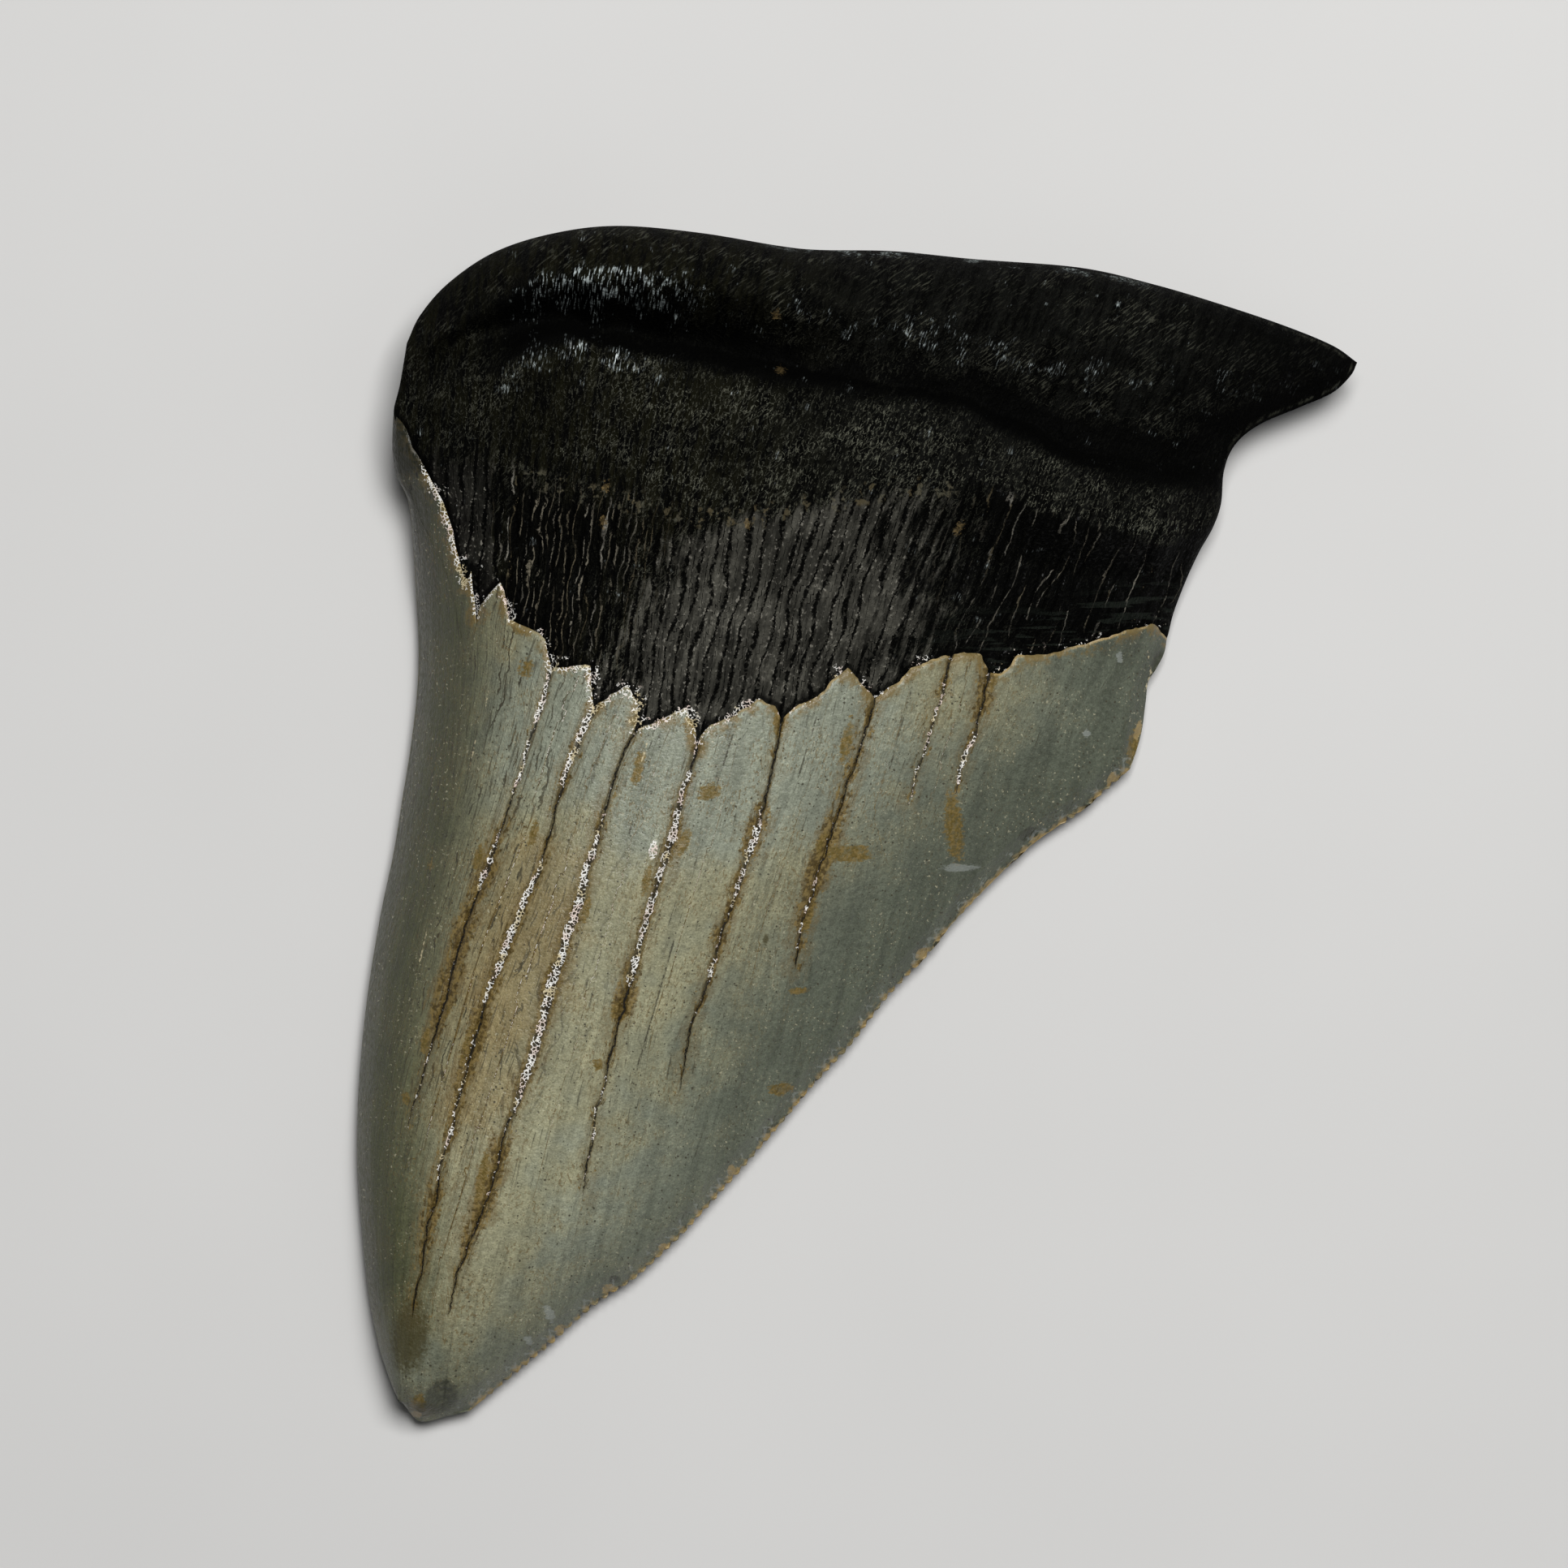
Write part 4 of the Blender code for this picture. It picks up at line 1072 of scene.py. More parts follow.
@dataclass
class Root(Shell):
    """The root's dark bone: ridge, groove, shelf and the bare band over the enamel."""

    name = "root_bone"
    turned = True
    bake = {Side.FRONT: (0.0132, 0.01, 0.01), Side.BACK: (0.0132, 0.01, 0.52),
            Side.WALL: (0.0004, 0.98, 0.98)}
    crown: Crown
    columns: int = 400
    rows: int = 184
    crowding: float = 0.2
    under_reach: float = 1.6
    under_drop: float = 1
    left_end: Line = ((-34, 29.6), (-33.4, 28.2))
    right_end: Line = ((22.9, 13.6), (22.2, 12.6))
    flat_under: Line = (
        (-33.4, 28.2), (-30, 25), (-24, 21.9), (-12, 19.3), (0, 18.1),
        (10, 16.9), (18, 15.2), (22.2, 12.6),
    )
    lumps: float = 0.38
    lump_size: float = 3.2
    fibre_depth: float = 0.34
    fibre_pitch: float = 1.3
    fibre_length: float = 11
    fibre_lean: tuple[float, float] = (0.08, 0.4)
    lean_from_to: tuple[float, float] = (-34, 15)
    upright_level: float = 20
    fibres_from_to: tuple[float, float] = (-4, 3)
    fissure_pitch: float = 1.1
    fissure_wander: float = 0.6
    fissure_depth: float = 0.22
    fissure_half: float = 0.2
    fine_lumps: float = 0.09
    fine_flutes: float = 0.12
    under_tuck: float = 0.3
    back_lumps: float = 0.35
    pits: tuple[Mark, ...] = (
        Mark(-31.8, 30.3, 0.8, 0.8), Mark(-30.4, 29.3, 0.7, 0.7), Mark(-15.2, 36.2, 1.2, 1.2),
        Mark(23.6, 27, 1.3, 1.3))
    pit_depth: float = 0.8
    glare: Mark = Mark(-18.4, 40.6, 3.4, 1.3, 0.1)
    faint_glare: Mark = Mark(5, 36.6, 4.4, 2.6)
    worn_corner: Mark = Mark(-14.6, 22.6, 5, 3.2, 0.2)
    ochre: tuple[Mark, ...] = (
        Mark(7.5, 22.1, 0.35, 0.55, 0.4), Mark(-18.6, 25.1, 0.35, 0.5),
        Mark(-18.8, 22.6, 0.3, 0.5), Mark(-8.1, 22.4, 0.3, 0.45), Mark(-5.7, 33.8, 0.4, 0.5),
        Mark(-6, 37.9, 0.35, 0.4))

    def grain(self, x: Array, y: Array) -> Array:
        """Places along and across the bone's grain, which leans more to the right there."""
        low, high = self.fibre_lean
        lean = low + (high - low) * smoothstep(*self.lean_from_to, x)
        return np.stack([x - lean * (y - self.upright_level), y, 0 * x], -1)

    def plan(self) -> Array:
        """Lays out the front's grid, from below the enamel's border up to the ridge."""
        border = self.crown.border_line
        reach = round(self.under_reach / FINE_STEP)
        lowest = np.array([border[max(0, index - reach):index + reach + 1, 1].min()
                           for index in range(len(border))]) - self.under_drop
        kernel = np.ones(reach) / reach
        padded = np.pad(lowest, (reach // 2, reach - reach // 2 - 1), mode="edge")
        under = np.column_stack([border[:, 0], np.convolve(padded, kernel, mode="valid")])
        under = under[(under[:, 0] > self.left_end[-1][0] + 0.3)
                      & (under[:, 0] < self.right_end[-1][0] - 0.3)]
        under = np.vstack([self.left_end[-1:], under, self.right_end[-1:]])
        across = np.linspace(0, 1, self.columns + 1)
        down = crowded(self.rows, self.crowding)
        top = along(smooth_curve(self.outline.root_top), across)
        left = along(smooth_curve(self.outline.root_left + self.left_end), down)
        right = along(smooth_curve(self.outline.root_right + self.right_end), down)
        bottom = np.column_stack([np.interp(across, self.shares(under), line) for line in under.T])
        return patch(top, bottom, left, right, across, down)[::-1]

    @staticmethod
    def shares(line: Array) -> Array:
        """The share of the way across at each point, half by x and half by length."""
        by_x = np.maximum.accumulate(line[:, 0] - line[0, 0]) / (line[-1, 0] - line[0, 0])
        by_length = lengths_along(line)
        return (by_x + by_length / by_length[-1]) / 2

    def fissures(self, grain: Array) -> Array:
        """Finds the long dark splits that run with the grain.

        Args:
            grain: Places across and along the grain.

        Returns:
            The distance from the nearest split's middle, which changes sign across it.
        """
        across, run = grain[..., 0], grain[..., 1]
        turns = across / self.fissure_pitch + self.fissure_wander * waves(across, run, 4, 5)
        line = np.floor(turns)
        shift = 0.25 * waves(7.7 * line, 0 * run, 1, 1)
        return (turns - line - 0.5 + shift) * self.fissure_pitch

    def zones(self, x: Array, y: Array) -> dict[str, Array]:
        """Reads which kind of bone each place shows.

        Args:
            x: Places to the right.
            y: Places towards the root.

        Returns:
            The traits zone, with the groove's painted shade, the smooth band and the glossy band,
            which is painted dark partly as shade, bone, with the fluted band, the rough shelf and the
            ridge's painted glints, and lip, with the shelf's painted glints.
        """
        form = self.relief
        groove, lip, shelf, crest = (
            form.line_at(line, x)[0] for line in (form.groove, form.lip, form.shelf, form.crest))
        ragged = 2.0 * waves(x, y, 3, 3)
        wide = 0.5 + 1.3 * (1 - smoothstep(-16, 0, x)) * smoothstep(-33, -27, x)
        wide += 1.1 * smoothstep(4, 14, x)
        # Painted shade: the groove is painted black.
        groove_shade = smoothstep(-0.9, 0.3, y - lip + 0.25 * ragged)
        groove_shade *= 1 - smoothstep(0, 2, y - groove - wide + 0.7 * ragged)
        groove_shade *= 0.45 + 0.55 * smoothstep(-29, -26, x + 0.5 * ragged)
        soft = 2.5 - 1.8 * smoothstep(0, 8, x)
        below = smoothstep(-0.4, 1, (shelf - y + 0.3 * ragged) / soft)
        start = x + ragged + 0.45 * (21 - y)
        middle = smoothstep(-19, -8, start) * (1 - smoothstep(-4, 12, x + ragged))
        middle *= 1 - 0.7 * smoothstep(0, 0.8, self.worn_corner.depth(x, y))
        fan = 0.8 * (1 - smoothstep(-28, -26, x + 0.4 * ragged)) * (1 - smoothstep(25, 30, y))
        # Painted highlights: the ridge's wall gets painted glints, strongest at the glare marks.
        wall = 1.15 * np.exp(-((y - 0.68 * crest - 0.32 * groove) / 1.45)**2)
        wall *= smoothstep(-28, -21, x) * (1 - 0.75 * smoothstep(-16, -10, x))
        wall += 0.5 * smoothstep(0, 0.8, self.glare.depth(x, y))
        wall += 0.22 * smoothstep(0, 0.8, self.faint_glare.depth(x, y))
        # The glossy band below the shelf is painted black partly for its own colour and partly as
        # painted shade.
        glossy = smoothstep(3, 13, x + ragged) * below
        fluted = smoothstep(-27.5, -25.5, x) * (1 - smoothstep(-20, -11, start)) * below
        upper = smoothstep(-1, 2, y - groove)
        rough = (1 - below) * (1 - upper)
        rough += 0.9 * np.exp(-((start + 16.5) / 2.6)**2) * below
        rough += 0.9 * np.exp(-((y - shelf - 0.5) / 0.7)**2) * smoothstep(3, 11, x)
        return {
            "zone": np.stack([groove_shade, np.maximum(middle * below, fan), glossy], -1),
            "bone": np.stack([fluted, rough, wall], -1),
            # Painted glints along the shelf's lip.
            "lip": 0.85 * np.exp(-((y - lip + 0.7) / 1.1)**2) * self.lip_window(x),
        }

    @staticmethod
    def lip_window(x: Array) -> Array:
        """Where along the shelf its lip has painted glints."""
        return smoothstep(-29, -25, x) * (1 - smoothstep(-17, -11, x))

    def front(self) -> Sheet:
        """Builds the domed face of the root."""
        plan = self.plan()
        x, y, from_edge, near_edge = self.places(plan)
        grain = self.grain(x, y)
        shelf, _ = self.relief.line_at(self.relief.shelf, x)
        level, _ = self.relief.line_at(self.relief.band, x)
        below = smoothstep(*self.fibres_from_to, shelf - y)
        to_crown = smoothstep(0, self.relief.band_to_enamel, level - y)
        rough = self.lumps * waves(x, y, self.lump_size, self.lump_size) * (1 - below)
        flutes = waves(grain[..., 0], y, self.fibre_pitch, self.fibre_length)
        rough += self.fibre_depth * flutes * below * (1 - to_crown / 2)
        traits = self.zones(x, y)
        split = self.fissures(grain)
        strength = smoothstep(-0.85, -0.25, waves(grain[..., 0], y, 1.4, 6)) * below
        border_gap = distance_to(even_steps(self.crown.border_line, 4 * FINE_STEP), x, y)
        opened = np.clip(1 - np.abs(split) / self.fissure_half, 0, 1)
        rough -= self.fissure_depth * opened * strength
        rough += self.fine_lumps * waves(grain[..., 0], y, 0.5, 1.1) * (1 - 0.7 * below)
        rough += self.fine_flutes * waves(grain[..., 0], y, 0.55, 9) * traits["bone"][..., 0]
        height = self.relief.domed(x, y, from_edge) + rough * near_edge
        for pit in self.pits:
            height -= self.pit_depth * np.exp(-(1 - pit.depth(x, y))**2)
        height = np.maximum(height, self.relief.flat(x, y, from_edge) + FINE_STEP)
        edge = self.relief.edge(x, y)
        under = np.interp(x, *np.array(self.crown.border).T) > y
        for rim in (np.s_[:, 0], np.s_[:, -1], np.s_[-1, :]):
            height[rim] = edge[rim] - self.under_tuck * under[rim]
        traits["grain"] = grain
        traits["split"] = np.stack([split, strength, border_gap], -1)
        pebbled = np.exp(-((y - shelf + 0.6) / 1)**2) * smoothstep(-27, -23, x)
        pebbled *= 1 - smoothstep(6, 9, x)
        traits["marks"] = np.stack([deepest(self.ochre, x, y), from_edge, pebbled], -1)
        return Sheet(plan, height, traits)

    def back(self, front: Sheet) -> Sheet:
        """Builds the flat face of the root: plain bone, worn in places."""
        plan, _ = self.flat_plan(front, self.flat_under)
        x, y, from_edge, near_edge = self.places(plan)
        border = np.array(self.crown.flat_border)
        above = y - np.interp(x, border[:, 0], border[:, 1])
        grain = self.grain(x, y)
        height = self.relief.flat(x, y, from_edge, above)
        lumps = np.maximum(waves(x, y, self.lump_size, self.lump_size), -0.3) + 0.3
        height += self.back_lumps * lumps * near_edge
        height += self.fine_lumps * (1 + waves(grain[..., 0], y, 0.6, 1.6)) * near_edge
        ragged = smoothstep(0.1, 0.6, waves(x, y, 5, 5))
        zone = np.stack([0 * x, 0.35 * ragged, 0 * x], -1)
        bone = np.stack([0 * x, 1 - 0.4 * ragged, 0 * x], -1)
        border_gap = distance_to(even_steps(smooth_curve(border), OUTLINE_STEP), x, y)
        traits = {"zone": zone, "bone": bone, "grain": grain, "lip": 0 * x,
                  "split": np.stack([0 * x + 2, 0 * x, border_gap + 0.4], -1),
                  "marks": np.stack([0 * x - 1, from_edge, 0 * x], -1)}
        return Sheet(plan, height, traits)


class SocketKind(Enum):
    """What runs through a socket of a node group."""

    VALUE = "NodeSocketFloat"
    VECTOR = "NodeSocketVector"
    COLOUR = "NodeSocketColor"


class Signal:
    """A value, vector or colour on its way through a node tree. It takes plain arithmetic."""

    def __init__(self, graph: "Graph", socket: bpy.types.NodeSocket) -> None:
        """Holds one output socket of a graph."""
        self.graph = graph
        self.socket = socket

    def __add__(self, other: "Signal | float") -> "Signal":
        """The sum."""
        return self.graph.math("ADD", self, other)

    def __sub__(self, other: "Signal | float") -> "Signal":
        """The difference."""
        return self.graph.math("SUBTRACT", self, other)

    def __rsub__(self, other: float) -> "Signal":
        """The difference from a number."""
        return self.graph.math("SUBTRACT", other, self)

    def __mul__(self, other: "Signal | float") -> "Signal":
        """The product."""
        return self.graph.math("MULTIPLY", self, other)

    def __truediv__(self, other: "Signal | float") -> "Signal":
        """The quotient."""
        return self.graph.math("DIVIDE", self, other)

    def __rtruediv__(self, other: float) -> "Signal":
        """A number divided by it."""
        return self.graph.math("DIVIDE", other, self)

    __radd__ = __add__
    __rmul__ = __mul__

    def size(self) -> "Signal":
        """The number without its sign."""
        return self.graph.math("ABSOLUTE", self)

    def most(self, *others: "Signal") -> "Signal":
        """The largest of it and others."""
        return reduce(lambda first, other: self.graph.math("MAXIMUM", first, other), others, self)

    def parts(self) -> tuple["Signal", ...]:
        """The three numbers of a vector."""
        node = self.graph.add("ShaderNodeSeparateXYZ", {0: self})
        return tuple(Signal(self.graph, output) for output in node.outputs)

    def ramp(self, low: object, high: object, start: float = 0, stop: float = 1) -> "Signal":
        """An eased ramp from start, where it is low, to stop, where it is high."""
        inputs = {0: self, 1: low, 2: high, 3: start, 4: stop}
        return self.graph.result("ShaderNodeMapRange", inputs, interpolation_type="SMOOTHSTEP")

    def stretched(self, across: float, down: float, shift: Sequence[float] = (0, 0, 0)) -> "Signal":
        """A place whose first two numbers are scaled, and which is then shifted."""
        inputs = {0: self, 1: (across, down, 1), 2: shift}
        return self.graph.result("ShaderNodeVectorMath", inputs, operation="MULTIPLY_ADD")

    def noise(self, scale: object, detail: float = 2, roughness: float = 0.5,
              solid: bool = False) -> "Signal":
        """Noise from 0 to 1 at a place.

        Args:
            scale: How many waves there are to a unit.
            detail: How many finer noises it holds.
            roughness: How strong those are.
            solid: Whether it also changes with the third number of the place.

        Returns:
            The noise.
        """
        inputs = {"Vector": self, "Scale": scale, "Detail": detail, "Roughness": roughness}
        dimensions = "3D" if solid else "2D"
        return self.graph.result("ShaderNodeTexNoise", inputs, noise_dimensions=dimensions)

    def cell_borders(self, scale: object) -> "Signal":
        """How far a place is from the borders of random cells."""
        return self.graph.result("ShaderNodeTexVoronoi", {"Vector": self, "Scale": scale}, "Distance",
                                 feature="DISTANCE_TO_EDGE", voronoi_dimensions="2D")

    def numbered_cells(self, scale: object) -> tuple["Signal", "Signal"]:
        """How far a place is from the middles of random cells, and its cell's random number."""
        node = self.graph.add("ShaderNodeTexVoronoi", {"Vector": self, "Scale": scale},
                              voronoi_dimensions="2D")
        number = Signal(self.graph, node.outputs["Color"]).parts()[0]
        return Signal(self.graph, node.outputs["Distance"]), number


class Graph:
    """Adds and joins the nodes of one material or one node group."""

    def __init__(self, tree: bpy.types.NodeTree) -> None:
        """Starts an empty tree."""
        self.tree = tree
        self.tree.nodes.clear()

    def add(self, kind: str, inputs: dict[int | str, object], **settings: object) -> bpy.types.Node:
        """Adds a node.

        Args:
            kind: The node's type.
            inputs: What each input takes: a signal, or a value that it is set to.
            **settings: The node's own settings.

        Returns:
            The node.
        """
        node = self.tree.nodes.new(kind)
        for name, value in settings.items():
            setattr(node, name, value)
        for key, value in inputs.items():
            if isinstance(value, Signal):
                self.tree.links.new(value.socket, node.inputs[key])
            else:
                node.inputs[key].default_value = value
        return node

    def result(self, kind: str, inputs: dict[int | str, object], output: int | str = 0,
               **settings: object) -> Signal:
        """Adds a node and takes one of its outputs."""
        return Signal(self, self.add(kind, inputs, **settings).outputs[output])

    def math(self, operation: str, *values: object) -> Signal:
        """A Math node's result."""
        return self.result("ShaderNodeMath", dict(enumerate(values)), operation=operation)

    def joined(self, *parts: Signal) -> Signal:
        """A vector of three numbers."""
        return self.result("ShaderNodeCombineXYZ", dict(enumerate(parts)))

    def random(self, value: Signal) -> Signal:
        """A random number from 0 to 1 for each value."""
        return self.result("ShaderNodeTexWhiteNoise", {"W": value}, noise_dimensions="1D")

    def attribute(self, name: str, output: str = "Fac") -> Signal:
        """A mesh attribute, as a number or, from the output Vector, as a vector."""
        return self.result("ShaderNodeAttribute", {}, output, attribute_name=name)

    def millimetres(self) -> Signal:
        """The place on the object, in millimetres."""
        place = self.result("ShaderNodeTexCoord", {}, "Object")
        return self.result("ShaderNodeVectorMath", {0: place, 1: (1 / MM,) * 3},
                           operation="MULTIPLY")

    def mixed(self, mask: object, first: object, second: object) -> Signal:
        """Mixes two colours: the first where the mask is 0 and the second where it is 1."""
        ends = [value if isinstance(value, Signal) else (*value, 1) for value in (first, second)]
        return self.result("ShaderNodeMix", {0: mask, 6: ends[0], 7: ends[1]}, 2, data_type="RGBA")

    def scaled(self, colour: object, factor: Signal) -> Signal:
        """A colour times a factor."""
        return self.result("ShaderNodeVectorMath", {0: colour, "Scale": factor}, operation="SCALE")

    def bumped(self, height: Signal, distance: float) -> Signal:
        """The normal of a surface that stands up to a distance higher where height is 1."""
        return self.result("ShaderNodeBump", {"Height": height, "Distance": distance})

    def surface(self, inputs: dict[str, object]) -> None:
        """Ends a material's graph with its shader."""
        self.add("ShaderNodeOutputMaterial", {0: self.result("ShaderNodeBsdfPrincipled", inputs)})


class Effect:
    """A look that several materials share, built once as a node group."""

    name: str = ""
    inputs: dict[str, SocketKind] = {}
    outputs: dict[str, SocketKind] = {}

    def __init__(self) -> None:
        """Builds the group."""
        self.tree = bpy.data.node_groups.new(self.name, "ShaderNodeTree")
        graph = Graph(self.tree)
        for names, way in ((self.inputs, "INPUT"), (self.outputs, "OUTPUT")):
            for name, kind in names.items():
                self.tree.interface.new_socket(name, in_out=way, socket_type=kind.value)
        given = graph.add("NodeGroupInput", {})
        taken = {name: Signal(graph, given.outputs[name]) for name in self.inputs}
        graph.add("NodeGroupOutput", self.make(graph, taken))

    def make(self, graph: Graph, given: dict[str, Signal]) -> dict[str, Signal]:
        """Builds the group's inside.

        Args:
            graph: The group's own graph.
            given: The group's inputs.

        Returns:
            The group's outputs.
        """
        raise NotImplementedError

    def place(self, graph: Graph, **values: object) -> tuple[Signal, ...]:
        """Places the group in a graph, with its inputs by name, and gives its outputs in order."""
        node = graph.add("ShaderNodeGroup", values, node_tree=self.tree)
        return tuple(Signal(graph, node.outputs[name]) for name in self.outputs)


class Strokes(Effect):
    """Short strokes that run with the grain."""

    name = "grain strokes"
    inputs = {"Grain": SocketKind.VECTOR, "Width": SocketKind.VALUE, "Length": SocketKind.VALUE,
              "Share": SocketKind.VALUE}
    outputs = {"Mask": SocketKind.VALUE, "Height": SocketKind.VALUE}

    def make(self, graph: Graph, given: dict[str, Signal]) -> dict[str, Signal]:
        """Stretches a noise along the grain and keeps its crests."""
        across, run, turn = given["Grain"].parts()
        field = graph.joined(across / given["Width"], run / given["Length"], turn).noise(1, 1.5, 0.55)
        level = 0.72 - given["Share"] * 0.4
        return {"Mask": field.ramp(level, level + 0.07), "Height": field}


class LongLines(Effect):
    """Long thin lines that wander down the grain, side by side, and fade in and out."""

    name = "long lines"
    inputs = {"Grain": SocketKind.VECTOR, "Spacing": SocketKind.VALUE,
              "Width": SocketKind.VALUE, "Share": SocketKind.VALUE}
    outputs = {"Mask": SocketKind.VALUE, "Number": SocketKind.VALUE}

    def make(self, graph: Graph, given: dict[str, Signal]) -> dict[str, Signal]:
        """Cuts the grain into wandering lanes and draws a line in each."""
        across, run, turn = given["Grain"].parts()
        spacing = given["Spacing"]
        lanes, steps = across / spacing, run / spacing
        drift = graph.joined(lanes * 0.5, steps * 0.22, turn).noise(1, 1)
        jitter = graph.joined(lanes * 2, steps * 1.6, turn).noise(1, 2, 0.6)
        turns = lanes + (drift - 0.5) * 1.8 + (jitter - 0.5) * 0.34
        line = graph.math("FLOOR", turns)
        number = graph.random(line)
        reach = (turns - line - 0.5 + (number - 0.5) * 0.5).size() * spacing
        here = graph.joined(line * 7.3, run * 0.3, turn).noise(1, 1)
        level = given["Share"] * 0.4
        present = here.ramp(0.7 - level, 0.78 - level)
        width = given["Width"] * present * (0.4 + jitter * 1.2) + 0.001
        return {"Mask": reach.ramp(width, width * 0.45) * present, "Number": number}


class Crust(Effect):
    """Pale mineral that fills cracks and laces the borders, with dark holes in it."""

    name = "mineral crust"
    inputs = {"Place": SocketKind.VECTOR, "Amount": SocketKind.VALUE, "Size": SocketKind.VALUE}
    outputs = {"Mask": SocketKind.VALUE, "Colour": SocketKind.COLOUR}

    def make(self, graph: Graph, given: dict[str, Signal]) -> dict[str, Signal]:
        """Keeps a lace of cell borders and lumps where the amount is high."""
        place, amount, scale = given["Place"], given["Amount"], 1.0 / given["Size"]
        wobble = place.noise(scale * 0.8, 2, 0.65)
        lace = place.cell_borders(scale * 1.1).ramp(0.16, 0.08)
        level = 0.6 - amount * 0.03
        lumps = place.noise(scale * 1.3).ramp(level, level + 0.06)
        solid = (amount + (wobble - 0.5) * 2.4).ramp(0.42, 0.55) * amount.ramp(0.02, 0.2)
        tint = place.noise(0.7, 1)
        colour = graph.mixed(tint.ramp(0.48, 0.66), CRUST_WHITE, CRUST_PINK)
        colour = graph.mixed(tint.ramp(0.42, 0.3), colour, CRUST_CREAM)
        return {"Mask": solid * lace.most(lumps), "Colour": colour}


class Specks(Effect):
    """Tiny round specks or pits, one in some of many random cells."""

    name = "specks"
    inputs = {"Place": SocketKind.VECTOR, "Spacing": SocketKind.VALUE,
              "Size": SocketKind.VALUE, "Share": SocketKind.VALUE}
    outputs = {"Mask": SocketKind.VALUE}

    def make(self, graph: Graph, given: dict[str, Signal]) -> dict[str, Signal]:
        """Keeps the middles of a share of the cells."""
        place, scale = given["Place"], 1.0 / given["Spacing"]
        distance, number = place.numbered_cells(scale)
        chosen = graph.math("LESS_THAN", number, given["Share"])
        radius = given["Size"] * scale * (0.2 + place.noise(scale * 5, 1) * 0.8 + number)
        return {"Mask": distance.ramp(radius, radius * 0.6) * chosen}


class Mottle(Effect):
    """Soft cloudy change of tone, with a finer grain in it."""

    name = "mottling"
    inputs = {"Place": SocketKind.VECTOR, "Size": SocketKind.VALUE}
    outputs = {"Cloud": SocketKind.VALUE, "Dust": SocketKind.VALUE, "Sand": SocketKind.VALUE}

    def make(self, graph: Graph, given: dict[str, Signal]) -> dict[str, Signal]:
        """Takes a coarse, a fine and a very fine noise."""
        place, scale = given["Place"], 1.0 / given["Size"]
        return {"Cloud": place.noise(scale, 2, 0.55, solid=True),
                "Dust": place.noise(scale * 8, 1, 0.65, solid=True),
                "Sand": place.noise(scale * 24, 1, solid=True)}


@dataclass(frozen=True)
class Effects:
    """The looks that the materials share."""

    strokes: Strokes
    lines: LongLines
    crust: Crust
    specks: Specks
    mottle: Mottle


def new_material(name: str) -> tuple[bpy.types.Material, Graph]:
    """An empty node material and the graph that fills it."""
    material = bpy.data.materials.new(name)
    material.use_nodes = True
    return material, Graph(material.node_tree)


class Finish:
    """A finish while it is painted: its graph, the noises of its layers and the colour so far."""

    name: str = ""
    cloud_size: float = 1
    base: Colour = (0, 0, 0)

    def __init__(self, effects: Effects) -> None:
        """Starts the finish's material."""
        self.made, self.graph = new_material(self.name)
        self.effects = effects
        self.colour: Colour | Signal = self.base
        self.traits: dict[str, tuple[Signal, ...]] = {}
        self.place = self.graph.millimetres()
        self.x, self.y, _ = self.place.parts()
        self.grain = self.graph.attribute("grain", "Vector")
        self.cloud, self.dust, self.sand = effects.mottle.place(
            self.graph, Place=self.place, Size=self.cloud_size)
        self.jag = self.place.noise(3.2, 2, 0.7, solid=True)

    def read(self, name: str) -> tuple[Signal, ...]:
        """The three numbers of a mesh attribute, which are read once."""
        if name not in self.traits:
            self.traits[name] = self.graph.attribute(name, "Vector").parts()
        return self.traits[name]

    def ragged(self, signal: Signal, reach: float) -> Signal:
        """A signal that wobbles by up to half a reach either way."""
        return signal + (self.jag - 0.5) * reach

    def lay(self, mask: Signal, colour: object) -> None:
        """Lays a colour on the colour so far."""
        self.colour = self.graph.mixed(mask, self.colour, colour)

    def shade(self, factor: Signal) -> None:
        """Makes the colour so far lighter or darker."""
        self.colour = self.graph.scaled(self.colour, factor)

    def strokes(self, width: float, length: float, share: float,
                grain: Signal | None = None) -> tuple[Signal, ...]:
        """Short strokes with the grain: their mask and their height."""
        return self.effects.strokes.place(self.graph, Grain=grain or self.grain, Width=width,
                                          Length=length, Share=share)

    def lines(self, spacing: float, width: float, share: float) -> tuple[Signal, ...]:
        """Long lines down the grain: their mask and each one's random number."""
        return self.effects.lines.place(self.graph, Grain=self.grain, Spacing=spacing,
                                        Width=width, Share=share)

    def encrust(self, amount: Signal, size: float, cover: float = 1) -> Signal:
        """Lays the pale mineral on the colour so far.

        Args:
            amount: How much of it there is.
            size: How wide its grains are.
            cover: How much it hides of what is under it.

        Returns:
            Its mask.
        """
        mask, colour = self.effects.crust.place(
            self.graph, Place=self.place, Amount=amount, Size=size)
        self.lay(mask * cover, colour)
        return mask


